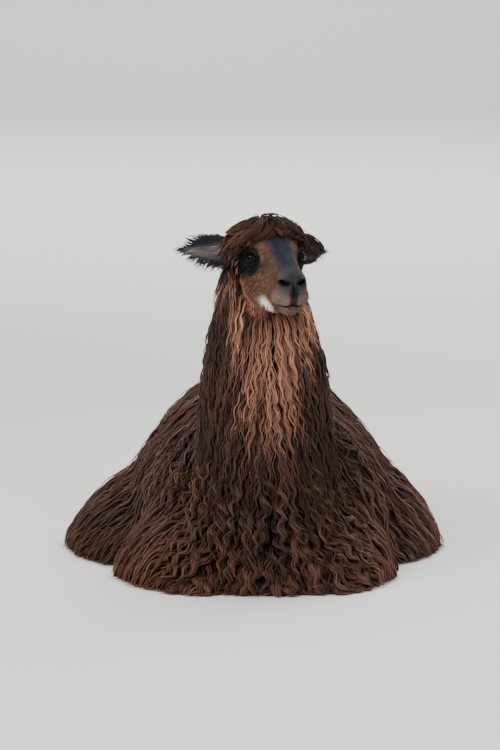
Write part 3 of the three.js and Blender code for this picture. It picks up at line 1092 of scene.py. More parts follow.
@dataclass
class Hide:
    """The one skin of head, ears, neck, body, legs and tail, lying under the fleece."""

    head: HeadAxes
    markings: Markings
    nodes: dict[str, bpy.types.Object]
    voxel: float = 0.004
    overlap: float = 0.0004
    floor_clearance: float = 0.004
    soft_rounds: int = 10
    depth_rounds: int = 14
    drape_rounds: int = 60
    nape_depth: float = 0.014
    ridge_reach: float = 0.040
    ridge_share: float = 0.7
    crest_rise: float = 0.001
    kept_share: float = 0.17
    firm: tuple[str, ...] = ("head", "lower_jaw", "ear_left", "ear_right", "eye_left", "eye_right", "topknot")
    depths: dict[str, float] = field(default_factory=lambda: {
        "trunk": 0.034, "neck": 0.026, "topknot": 0.006, "tail": 0.009, "head": 0.002, "lower_jaw": 0.0015,
        "ear_left": 0.001, "ear_right": 0.001, "foreleg_left": 0.034, "foreleg_right": 0.034,
        "hindleg_left": 0.034, "hindleg_right": 0.034, "eye_left": 0.0, "eye_right": 0.0,
    })

    def cast(self) -> None:
        """Close the CAD solids into one surface, and lay the draped outer surface and the skin from it."""
        self.object = self._closed()
        outer = Surface(self.object.data)
        local = self.head.local(outer.points)
        self.kinds, self.names = self._nearest_nodes(outer.points)
        depth = self._depth(outer, local)
        long_fleece = [number for number, name in enumerate(self.names) if name not in self.firm]
        soft = outer.blur(np.isin(self.kinds, long_fleece).astype(float), self.soft_rounds)
        outer.points = outer.blur(outer.points, self.drape_rounds, 0.5 * soft)
        crest = self.crest_rise * bell(local[:, 1], -0.004, 0.036) * ramp(0.045, 0.070, local[:, 2])
        outer.points[:, 2] += crest * ramp(-0.12, -0.08, local[:, 0])
        self.drape, self.drape_normals = outer, outer.normals()
        self.skin_points = self._sunk(outer, depth)

    def _depth(self, outer: Surface, local: Array) -> Array:
        """Work out how deep the coat is at each vertex.

        Args:
            outer: The closed surface.
            local: Its vertices in the head's frame.

        Returns:
            A depth for each vertex.
        """
        x, y, z = outer.points.T
        depth = np.array([self.depths[name] for name in self.names])[self.kinds]
        depth[(local[:, 0] < -0.03) & (self.kinds == self.names.index("head"))] = self.nape_depth
        ridge = bell(x, SPINE_X, self.ridge_reach) * ramp(0.36, 0.42, z)
        depth = depth * (1.0 - self.ridge_share * ridge * ramp(-0.22, -0.14, y))
        return outer.blur(depth, self.depth_rounds)

    def _closed(self) -> bpy.types.Object:
        """Join copies of the solids, a hair oversize so that they overlap, and remesh them as one.

        Returns:
            The closed object.
        """
        whole = bmesh.new()
        for name in self.depths:
            part = bmesh.new()
            part.from_mesh(self.nodes[name].data)
            bmesh.ops.remove_doubles(part, verts=part.verts, dist=1e-5)
            part.normal_update()
            for vert in part.verts:
                vert.co += vert.normal * self.overlap
            spare = bpy.data.meshes.new("part")
            part.to_mesh(spare)
            part.free()
            whole.from_mesh(spare)
            bpy.data.meshes.remove(spare)
        made = finished("skin", whole)
        remesh = made.modifiers.new("close", "REMESH")
        remesh.mode = "VOXEL"
        remesh.voxel_size = self.voxel
        closed = bpy.data.meshes.new_from_object(made.evaluated_get(bpy.context.evaluated_depsgraph_get()))
        made.modifiers.clear()
        made.data = closed
        return made

    def _nearest_nodes(self, points: Array) -> tuple[Array, list[str]]:
        """Find which CAD node each point lies on.

        Args:
            points: The points.

        Returns:
            The number of each point's node, and the nodes' names.
        """
        names = list(self.depths)
        verts: list = []
        faces: list = []
        owners: list[int] = []
        for number, name in enumerate(names):
            mesh = self.nodes[name].data
            start = len(verts)
            verts.extend(v.co[:] for v in mesh.vertices)
            faces.extend([start + i for i in p.vertices] for p in mesh.polygons)
            owners.extend([number] * len(mesh.polygons))
        tree = BVHTree.FromPolygons(verts, faces)
        found = [tree.find_nearest(point)[2] for point in points.tolist()]
        return np.array(owners)[np.array(found)], names

    def _sunk(self, outer: Surface, depth: Array, steps: int = 8) -> Array:
        """Sink the outer surface by the coat's depth, a little at a time.

        Args:
            outer: The outer surface.
            depth: How deep the coat is at each vertex.
            steps: How many times it is sunk.

        Returns:
            The skin's vertices.
        """
        moved = copy.copy(outer)
        deep = 0.35 * ramp(0.004, 0.02, depth)
        floor = ramp(0.02, 0.0, outer.points[:, 2])
        for _ in range(steps):
            step = moved.normals() * (depth / steps)[:, None]
            step[:, 2] *= 1.0 - floor
            moved.points = moved.blur(moved.points - step, 1, deep)
        moved.points[:, 2] = np.maximum(moved.points[:, 2], self.floor_clearance)
        return moved.points

    def sculpt(self) -> None:
        """Refine the face and ears of the skin and carve their features."""
        self.object.data.vertices.foreach_set("co", self.skin_points.ravel())
        self._refine()
        skin = Surface(self.object.data)
        normals = self.head.facing(skin.normals())
        local = Carver(self.head.local(skin.points), normals, self.markings.mouth).carved()
        skin.points = self.head.world(local)
        self.object.data.vertices.foreach_set("co", skin.points.ravel())
        self.object.data.update()
        self.surface = skin
        self._thin(~self._is_face(local))

    def _thin(self, hidden: Array) -> None:
        """Thin the triangles that the long fleece hides.

        Args:
            hidden: Which vertices it hides.
        """
        group = self.object.vertex_groups.new(name="hidden")
        group.add(np.flatnonzero(hidden).tolist(), 1.0, "REPLACE")
        covered = hidden[self.surface.triangles].all(axis=1).mean()
        thin = self.object.modifiers.new("thin", "DECIMATE")
        thin.vertex_group = group.name
        thin.ratio = 1.0 - covered * (1.0 - self.kept_share)
        spare = self.object.data
        graph = bpy.context.evaluated_depsgraph_get()
        self.object.data = bpy.data.meshes.new_from_object(self.object.evaluated_get(graph))
        self.object.modifiers.clear()
        self.object.vertex_groups.clear()
        bpy.data.meshes.remove(spare)

    def _refine(self) -> None:
        """Divide the faces of the front of the head, and those round the eyes and nose once more."""
        bm = bmesh.new()
        bm.from_mesh(self.object.data)
        for wanted in (self._is_face, self._is_fine):
            places = self.head.local(np.array([v.co[:] for v in bm.verts]))
            chosen = wanted(places)
            bm.verts.index_update()
            edges = [e for e in bm.edges if chosen[e.verts[0].index] and chosen[e.verts[1].index]]
            bmesh.ops.subdivide_edges(bm, edges=edges, cuts=1, use_grid_fill=True, smooth=0.6)
        bmesh.ops.triangulate(bm, faces=[f for f in bm.faces if len(f.verts) > 4])
        bm.to_mesh(self.object.data)
        bm.free()

    @staticmethod
    def _is_face(local: Array) -> Array:
        """Choose the front of the head and the ears."""
        forward, left, up = local.T
        face = (forward > -0.03) & (np.abs(left) < 0.09) & (up > -0.13)
        ears = (np.abs(left) > 0.075) & (up > -0.07)
        return face | ears

    @staticmethod
    def _is_fine(local: Array) -> Array:
        """Choose the surrounds of the eyes, the nostrils and the mouth."""
        forward, left, up = local.T
        eyes = (np.abs(left) > 0.02) & (np.abs(up) < 0.032) & (forward > -0.026) & (forward < 0.048)
        nose = (forward > 0.098) & (up > -0.102)
        mouth = (forward > 0.062) & (np.abs(up + 0.080) < 0.016)
        return eyes | nose | mouth

    def dress(self) -> bpy.types.Object:
        """Store the markings on the skin and give it its finish.

        Returns:
            The skin.
        """
        mesh = self.object.data
        surface = Surface(mesh)
        points, local = surface.points, self.head.local(surface.points)
        forward, left, up = local.T
        face = Markings.on_face(forward, left, up)
        ears = Markings.on_ears(forward, np.abs(left), up)
        nose = ramp(0.112, 0.128, forward) * ramp(-0.068, -0.052, up) * ramp(-0.016, -0.026, up)
        line = self.markings.mouth.line(forward, np.abs(left))
        lips = self.markings.mouth.inside(forward) * bell(up - line, 0.0, 0.0045)
        bare = np.clip(nose + lips * 0.8, 0.0, 1.0)
        cool = self.markings.cool(points)
        facing = self.head.facing(surface.normals())
        for side in (-1.0, 1.0):
            inside = EarShape.of(local, side).lining(local, facing) * ears * (left * side > 0.0)
            cool[:, 2] = np.maximum(cool[:, 2], 0.065 * inside)
            cool[:, 0] = cool[:, 0] * (1.0 - 0.3 * inside)
        put_attribute(mesh, "warm_marks", self.markings.warm(points))
        put_attribute(mesh, "cool_marks_and_shade", cool)
        # fleece: where the skin lies under the fleece, which its finish darkens as painted shade.
        fleece = (1.0 - face) * (1.0 - ears)
        put_attribute(mesh, "skin", np.stack((fleece, bare, nose * 0.35), axis=1))
        smoothed(mesh)
        mesh.materials.clear()
        mesh.materials.append(SkinFinish("short_coat", gloss=0.12, depth=0.0007).build())
        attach(self.object, "root")
        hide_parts(*(name for name in self.depths if not name.startswith("eye")))
        return self.object


# ---- The eyes ----


@dataclass(frozen=True)
class EyeShape:
    """One eye in the head's frame; side is 1 on the animal's left."""

    side: float
    radius: float = 0.0162
    forward: float = 0.007
    apart: float = 0.0465
    gaze_out: float = math.radians(51.0)
    gaze_up: float = math.radians(3.0)
    half_width: float = 1.20
    upper: float = 0.74
    lower: float = 0.66
    almond: float = 2.4

    @property
    def middle(self) -> Array:
        """Give the middle of the eyeball."""
        return np.array((self.forward, self.side * self.apart, 0.0))

    @property
    def gaze(self) -> Array:
        """Give the direction that the eye faces."""
        level = math.cos(self.gaze_up)
        return np.array((
            math.cos(self.gaze_out) * level,
            self.side * math.sin(self.gaze_out) * level,
            math.sin(self.gaze_up),
        ))

    @property
    def inner(self) -> Array:
        """Give the direction from the middle of the eye towards its inner corner."""
        ahead = np.array((math.sin(self.gaze_out), -self.side * math.cos(self.gaze_out), -0.16))
        return unit(ahead - self.gaze * (ahead @ self.gaze))

    @property
    def over(self) -> Array:
        """Give the direction from the middle of the eye towards its upper lid."""
        upward = np.cross(self.gaze, self.inner)
        return upward * math.copysign(1.0, upward[2])

    def opening(self, heading: Array) -> Array:
        """Tell how far outside the almond opening each heading is: below 0 is inside it.

        Args:
            heading: Directions from the middle of the eyeball.

        Returns:
            About the angle outside the opening, in radians.
        """
        across = np.arctan2(heading @ self.inner, heading @ self.gaze)
        upright = np.arctan2(heading @ self.over, heading @ self.gaze)
        part = np.clip(np.abs(across) / self.half_width, 0.0, 1.6)
        tall = np.where(upright > 0.0, self.upper, self.lower)
        above = np.abs(upright) - tall * np.sqrt(np.clip(1.0 - part**self.almond, 0.0, 1.0))
        beyond = np.abs(across) - self.half_width
        return np.where(beyond > 0.0, np.hypot(beyond, upright * 0.9), above)

    def lid(self, across: float, upper: bool) -> float:
        """Give the angle from the level up, or down, to a lid's edge, at an angle across the opening."""
        tall = self.upper if upper else -self.lower
        return tall * math.sqrt(1.0 - min(abs(across / self.half_width) ** self.almond, 1.0))


@dataclass(frozen=True)
class EarShape:
    """The line of one ear in the head's frame: its base, its tip, and the directions across it."""

    base: Array
    tip: Array
    axis: Array
    front: Array
    across: Array

    @classmethod
    def of(cls, local: Array, side: float) -> "EarShape":
        """Find an ear among points in the head's frame.

        Args:
            local: The points.
            side: 1 for the left ear, -1 for the right.

        Returns:
            The ear.
        """
        base = np.array((-0.058, side * 0.050, 0.012))
        tip = local[np.argmax(local[:, 1] * side - 0.5 * np.abs(local[:, 2]))]
        axis = unit(tip - base)
        front = unit(np.array((1.0, 0.0, 0.0)) - axis * axis[0])
        across = np.cross(front, axis)
        return cls(base, tip, axis, front, across * np.sign(across[2]))

    def measured(self, local: Array) -> tuple[Array, Array, Array]:
        """Measure where points are on the ear.

        Args:
            local: The points in the head's frame.

        Returns:
            How far along the ear they are (0 to 1), how far above its line, and how near its rim.
        """
        away = local - self.base
        reach = away @ self.axis / np.linalg.norm(self.tip - self.base)
        height = away @ self.across
        half = np.maximum(0.031 * np.sqrt(np.clip(1.0 - reach, 0.0, 1.0)), 0.004)
        return reach, height, np.clip(np.abs(height) / half, 0.0, 1.2)

    def lining(self, local: Array, facing: Array) -> Array:
        """Tell where the pale lining of the hollow is, from 0 to 1, for places and the ways they face."""
        _, height, rim = self.measured(local)
        return ramp(0.1, 0.4, facing @ self.front) * ramp(np.where(height > 0.0, 0.70, 0.95), 0.25, rim)


@dataclass
class Eyes:
    """Both eyeballs, each with its cornea and level pupil."""

    head: HeadAxes
    rings: int = 36
    cornea_rise: float = 0.0012
    pupil_half: Numbers = (0.34, 0.17)

    def build(self) -> list[bpy.types.Object]:
        """Build the two eyes."""
        finish = EyeFinish().build()
        return [self._eye(side, name, finish) for side, name in ((1.0, "left"), (-1.0, "right"))]

    def _eye(self, side: float, name: str, finish: bpy.types.Material) -> bpy.types.Object:
        """Build one eye.

        Args:
            side: 1 for the left eye, -1 for the right.
            name: The side's name.
            finish: The eye's material.

        Returns:
            The eyeball.
        """
        shape = EyeShape(side)
        gaze, inner, over = (self.head.turned(way) for way in (shape.gaze, shape.inner, shape.over))
        bm = bmesh.new()
        bmesh.ops.create_uvsphere(bm, u_segments=2 * self.rings, v_segments=self.rings, radius=shape.radius)
        turn = Matrix((inner, over, gaze)).transposed()
        if turn.determinant() < 0.0:
            turn = Matrix((-inner, over, gaze)).transposed()
        for vert in bm.verts:
            heading = vert.co.normalized()
            vert.co += heading * self.cornea_rise * float(ramp(0.80, 0.95, heading.z))
        bmesh.ops.rotate(bm, verts=bm.verts, cent=(0.0, 0.0, 0.0), matrix=turn)
        bmesh.ops.translate(bm, verts=bm.verts, vec=Vector(self.head.world(shape.middle)))
        eyeball = finished(f"eyeball_{name}", bm)
        points = Surface(eyeball.data).points
        heading = unit(points - self.head.world(shape.middle))
        across, upright, ahead = heading @ inner, heading @ over, heading @ gaze
        wide, tall = self.pupil_half
        pupil = ramp(1.15, 0.85, np.hypot(across / wide, upright / tall)) * (ahead > 0.0)
        ring, white = ramp(0.86, 0.70, ahead), ramp(0.78, 0.60, ahead)
        put_attribute(eyeball.data, "iris", np.stack((ring, pupil, white), axis=1))
        eyeball.data.materials.append(finish)
        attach(eyeball, "root")
        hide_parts(f"eye_{name}")
        return eyeball


# ---- Locks of hair ----


@dataclass
class Strands:
    """Centre lines of many locks, with what their meshes need.

    lines and outward have one row for each lock, with one point for each ring; the others have one row or one
    number for each lock. unwrapped is its place on the map for baking.
    """

    lines: Array
    outward: Array
    width: Array
    thickness: Array
    twist: Array
    tint: Array
    shade: Array
    warm: Array
    cool: Array
    unwrapped: Array


@dataclass
class LockMesh:
    """Makes one mesh of many closed three-sided locks."""

    name: str
    finish: bpy.types.Material
    slot: str
    sides: int = 3
    patch: float = 0.003
    root_width: float = 0.75
    tip_from: float = 0.28
    tip_narrow: float = 0.93
    tip_step: float = 0.8
    floor_gap: float = 0.0005

    def build(self, strands: Strands) -> bpy.types.Object:
        """Build the piece.

        Args:
            strands: The locks.

        Returns:
            The piece, riding on the body.
        """
        self.strands = strands
        self.count, self.rings = strands.lines.shape[:2]
        self.run = self._steps()
        points = self._points()
        quads, triangles = self._faces()
        mesh = bpy.data.meshes.new(self.name)
        mesh.vertices.add(len(points))
        mesh.vertices.foreach_set("co", points.astype(np.float32).ravel())
        loops = np.concatenate((quads.ravel(), triangles.ravel()))
        starts = np.concatenate((np.arange(len(quads)) * 4, len(quads) * 4 + np.arange(len(triangles)) * 3))
        mesh.loops.add(len(loops))
        mesh.loops.foreach_set("vertex_index", loops.astype(np.int32))
        mesh.polygons.add(len(starts))
        mesh.polygons.foreach_set("loop_start", starts.astype(np.int32))
        smoothed(mesh)
        mesh.update(calc_edges=True)
        self._maps(mesh, loops)
        lock = np.repeat(np.arange(self.count), self.rings * self.sides + 1)
        along = np.tile(np.append(np.repeat(self.run[:-1], self.sides), 1.0), self.count)
        put_attribute(mesh, "warm_marks", strands.warm[lock])
        put_attribute(mesh, "cool_marks_and_shade", strands.cool[lock])
        put_attribute(mesh, "lock", np.stack((along, strands.tint[lock], strands.shade[lock]), axis=1))
        piece = bpy.data.objects.new(self.name, mesh)
        bpy.context.scene.collection.objects.link(piece)
        mesh.materials.append(self.finish)
        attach(piece, "root")
        log.info("%s: %d locks, %d triangles", self.name, self.count, 2 * len(quads) + len(triangles))
        return piece

    def _steps(self) -> Array:
        """Give how far along a lock its rings and its tip are."""
        places = spaced(self.rings)
        last = self.tip_step * (places[-1] - places[-2])
        return np.append(places, 1.0 + last) / (1.0 + last)

    def _points(self) -> Array:
        """Lay the rings of every lock round its centre line.

        Returns:
            The vertices.
        """
        strands, lines = self.strands, self.strands.lines
        heading = unit(np.gradient(lines, axis=1))
        up = unit(flattened(strands.outward, heading))
        side = np.cross(up, heading)
        run = self.run[:-1]
        body = self.root_width + (1.0 - self.root_width) * ramp(0.0, 0.25, run)
        taper = body * (1.0 - ramp(self.tip_from, 1.06, run) * self.tip_narrow)
        turn = strands.twist[:, None] * (0.3 + run[None, :])
        angles = np.pi / 2 + 2 * np.pi * np.arange(self.sides) / self.sides
        wide, thick = ((wave(angles) * 0.5)[None, None, :, None] for wave in (np.cos, np.sin))
        cos, sin = (wave(turn)[..., None, None] for wave in (np.cos, np.sin))
        side, up = side[:, :, None, :], up[:, :, None, :]
        flat, stand = side * cos + up * sin, up * cos - side * sin
        broad = (strands.width[:, None] * taper)[..., None, None]
        deep = (strands.thickness[:, None] * taper)[..., None, None]
        ring_points = lines[:, :, None, :] + flat * wide * broad + stand * thick * deep
        tips = lines[:, -1] + (lines[:, -1] - lines[:, -2]) * self.tip_step
        points = np.concatenate((ring_points.reshape(self.count, -1, 3), tips[:, None, :]), axis=1)
        points[..., 2] = np.maximum(points[..., 2], self.floor_gap)
        return points.reshape(-1, 3)

    def _faces(self) -> tuple[Array, Array]:
        """Number the corners of every lock's faces.

        Returns:
            The four-sided faces along the locks, and the triangles that close their tips and roots.
        """
        rings, sides = self.rings, self.sides
        ring, corner = np.meshgrid(np.arange(rings - 1), np.arange(sides), indexing="ij")
        after = (corner + 1) % sides
        near, far = ring * sides, (ring + 1) * sides
        quads = np.stack((near + corner, near + after, far + after, far + corner), axis=-1).reshape(-1, 4)
        around, last = np.arange(sides), (rings - 1) * sides
        tip = np.stack((last + around, last + (around + 1) % sides, np.full(sides, rings * sides)), axis=-1)
        triangles = np.concatenate((tip, [[2, 1, 0]]))
        start = (np.arange(self.count) * (rings * sides + 1))[:, None, None]
        return (quads[None] + start).reshape(-1, 4), (triangles[None] + start).reshape(-1, 3)

    def _maps(self, mesh: bpy.types.Mesh, loops: Array) -> None:
        """Store the map for baking and the one that runs along each lock.

        Args:
            mesh: The piece's mesh.
            loops: The vertex of each corner of each face.
        """
        size = self.rings * self.sides + 1
        lock, vertex = loops // size, loops % size
        ring, corner = vertex // self.sides, vertex % self.sides
        along = self.run[ring]
        around = (corner + 0.5) / self.sides
        lengths = np.linalg.norm(np.diff(self.strands.lines, axis=1), axis=2).sum(axis=1)
        bake = self.strands.unwrapped[lock] + (np.stack((around, along), axis=1) - 0.5) * self.patch
        run = along * lengths[lock] * 10.0
        hair = np.stack((around + lock * 0.37 % 7.0, run + lock * 0.61 % 5.0), axis=1)
        for name, values in ((UV_BAKE, bake), (UV_HAIR, hair)):
            layer = mesh.uv_layers.new(name=name, do_init=False)
            layer.uv.foreach_set("vector", values.astype(np.float32).ravel())


class Region(Enum):
    """The parts of the long fleece that are made as pieces of their own."""

    CROWN = "crown"
    THROAT = "throat"
    NAPE = "nape"
    CHEST = "chest"
    HEM = "hem"
    FLANK_LEFT = "flank_left"
    FLANK_RIGHT = "flank_right"
    HAUNCH_LEFT = "haunch_left"
    HAUNCH_RIGHT = "haunch_right"
    RUMP = "rump"


@dataclass(frozen=True)
class Growth:
    """How the locks of one region grow; lengths in metres.

    Strands gather into locks about spacing apart. Each lock waves as one, nearly in step with its neighbours,
    and lies up to drop below the drape and settle lower. Bulge rounds it across, flick lifts its tip, curl
    turns its waves into coils, yaw turns it off the flow, and loose thins its strays. Its tone mixes the
    region's
    coat colour with painted shade and light: the chest darker, the left flank and haunch lighter.
    """

    count: int
    length: float
    width: float
    spacing: float
    wave: float
    pitch: float
    gather: float
    drop: float
    yaw: float
    tone: float
    rings: int
    bulge: float = 0.007
    flick: float = 0.005
    settle: float = 0.004
    curl: float = 0.5
    loose: float = 1.0
    slot: str = "fleece"


# Each region's tone below mixes coat colour with painted shade and light: the chest darker, the left flank
# and haunch lighter.
GROWTH = {
    Region.CROWN: Growth(
        count=2850, length=0.088, width=0.0034, spacing=0.012, wave=0.0018, pitch=0.055, gather=0.62,
        drop=0.006, yaw=0.26, tone=0.37, rings=9, bulge=0.003, flick=0.003, settle=0.0, loose=0.3,
        slot="crown_fleece"),
    Region.THROAT: Growth(
        count=2050, length=0.135, width=0.0042, spacing=0.014, wave=0.0034, pitch=0.044, gather=0.74,
        drop=0.012, yaw=0.05, tone=0.57, rings=14, bulge=0.004, flick=0.003, settle=0.002,
        slot="neck_fleece"),
    Region.NAPE: Growth(
        count=1750, length=0.14, width=0.005, spacing=0.018, wave=0.0044, pitch=0.048, gather=0.7,
        drop=0.012, yaw=0.08, tone=0.92, rings=12, bulge=0.004, flick=0.004, settle=0.005,
        slot="neck_fleece"),
    Region.CHEST: Growth(
        count=1800, length=0.102, width=0.0058, spacing=0.023, wave=0.0066, pitch=0.041, gather=0.84,
        drop=0.028, yaw=0.11, tone=0.88, rings=17, flick=0.007, curl=0.9),
    Region.HEM: Growth(
        count=1400, length=0.09, width=0.006, spacing=0.024, wave=0.0052, pitch=0.042, gather=0.8,
        drop=0.02, yaw=0.12, tone=0.84, rings=13, flick=0.008, curl=0.8),
    Region.FLANK_LEFT: Growth(
        count=1500, length=0.17, width=0.0064, spacing=0.024, wave=0.0048, pitch=0.07, gather=0.7,
        drop=0.018, yaw=0.12, tone=1.28, rings=11, flick=0.003, settle=0.012),
    Region.FLANK_RIGHT: Growth(
        count=1600, length=0.16, width=0.0054, spacing=0.019, wave=0.0046, pitch=0.055, gather=0.72,
        drop=0.016, yaw=0.1, tone=1.12, rings=12, bulge=0.005, flick=0.003, settle=0.012),
    Region.HAUNCH_LEFT: Growth(
        count=1500, length=0.175, width=0.0064, spacing=0.024, wave=0.005, pitch=0.08, gather=0.72,
        drop=0.018, yaw=0.1, tone=1.26, rings=12, settle=0.008),
    Region.HAUNCH_RIGHT: Growth(
        count=1600, length=0.175, width=0.0054, spacing=0.019, wave=0.0042, pitch=0.085, gather=0.76,
        drop=0.016, yaw=0.06, tone=0.92, rings=13, bulge=0.006, settle=0.008),
    Region.RUMP: Growth(
        count=1400, length=0.165, width=0.0074, spacing=0.026, wave=0.005, pitch=0.07, gather=0.7,
        drop=0.016, yaw=0.12, tone=0.95, rings=10, flick=0.004, settle=0.008),
}


class Turf:
    """A surface on which hair can be sown and over which it can be laid."""

    def __init__(self, points: Array, normals: Array, triangles: Array, seed: int) -> None:
        """Measure the surface.

        Args:
            points: Its vertices.
            normals: Their outward directions.
            triangles: Its triangles.
            seed: What starts the random numbers.
        """
        self.points, self.triangles = points, triangles
        self.tree = BVHTree.FromPolygons(points.tolist(), triangles.tolist())
        corners = points[triangles]
        crossed = np.cross(corners[:, 1] - corners[:, 0], corners[:, 2] - corners[:, 0])
        self.areas = 0.5 * np.linalg.norm(crossed, axis=1)
        self.centres = corners.mean(axis=1)
        self.facing = unit(normals[triangles].mean(axis=1))
        self.random = np.random.default_rng(seed)

    def places(self, triangles: Array, weights: Array, points: Array | None = None) -> Array:
        """Find places by their triangles and weights, on the surface's own vertices or on points."""
        vertices = self.points if points is None else points
        return np.einsum("nk,nkd->nd", weights, vertices[self.triangles[triangles]])

    def sown(self, weight: Array, wanted: int) -> tuple[Array, Array]:
        """Spread roots evenly.

        Args:
            weight: How thickly hair grows on each triangle, 0 for not at all.
            wanted: How many roots, at most.

        Returns:
            The triangle of each root and its weights on that triangle's corners.
        """
        share = self.areas * weight
        tries = wanted * 6
        triangles = self.random.choice(len(share), tries, p=share / share.sum())
        weights = self.random.dirichlet((1.0, 1.0, 1.0), tries)
        points = self.places(triangles, weights)
        cell = math.sqrt(share.sum() / wanted) / np.sqrt(np.maximum(weight[triangles], 1e-3))
        for factor in (1.0, 0.92, 0.84, 0.76, 0.68, 0.6, 0.5):
            kept = one_per_cell(points, (cell * factor)[:, None])
            if len(kept) >= wanted:
                break
        kept = self.random.permutation(kept)[:wanted]
        return triangles[kept], weights[kept]

    def traced(self, start: Array, length: Array, rings: int, flow: Flow,
               loose: Callable[[Array], Array] | None = None) -> tuple[Array, Array]:
        """Follow a flow over the surface from each root.

        Args:
            start: The roots.
            length: Each path's length.
            rings: How many points each path has.
            flow: Gives directions for places and their outward directions.
            loose: Gives how far a place hangs free of the surface, from 0 to 1.

        Returns:
            The paths and the outward directions along them.
        """
        paths = np.empty((len(start), rings, 3))
        outward = np.empty_like(paths)
        point, heading = start, None
        steps = np.diff(spaced(rings), append=1.0)
        for ring in range(rings):
            found = [self.tree.find_nearest(place) for place in point.tolist()]
            nearest = np.array([hit[0][:] for hit in found])
            normal = np.array([hit[1][:] for hit in found])
            if loose is not None:
                free = loose(point)
                nearest = blend(nearest, point, free[:, None])
                normal[:, 2] *= 1.0 - 0.9 * free
                normal = unit(normal)
            if ring:
                normal = unit(normal + outward[:, ring - 1] * 1.5)
            paths[:, ring], outward[:, ring] = nearest, normal
            wanted = flow(nearest, normal)
            heading = wanted if heading is None else unit(heading * 0.5 + wanted * 0.5)
            point = nearest + heading * (length * steps[ring])[:, None]
        return paths, outward


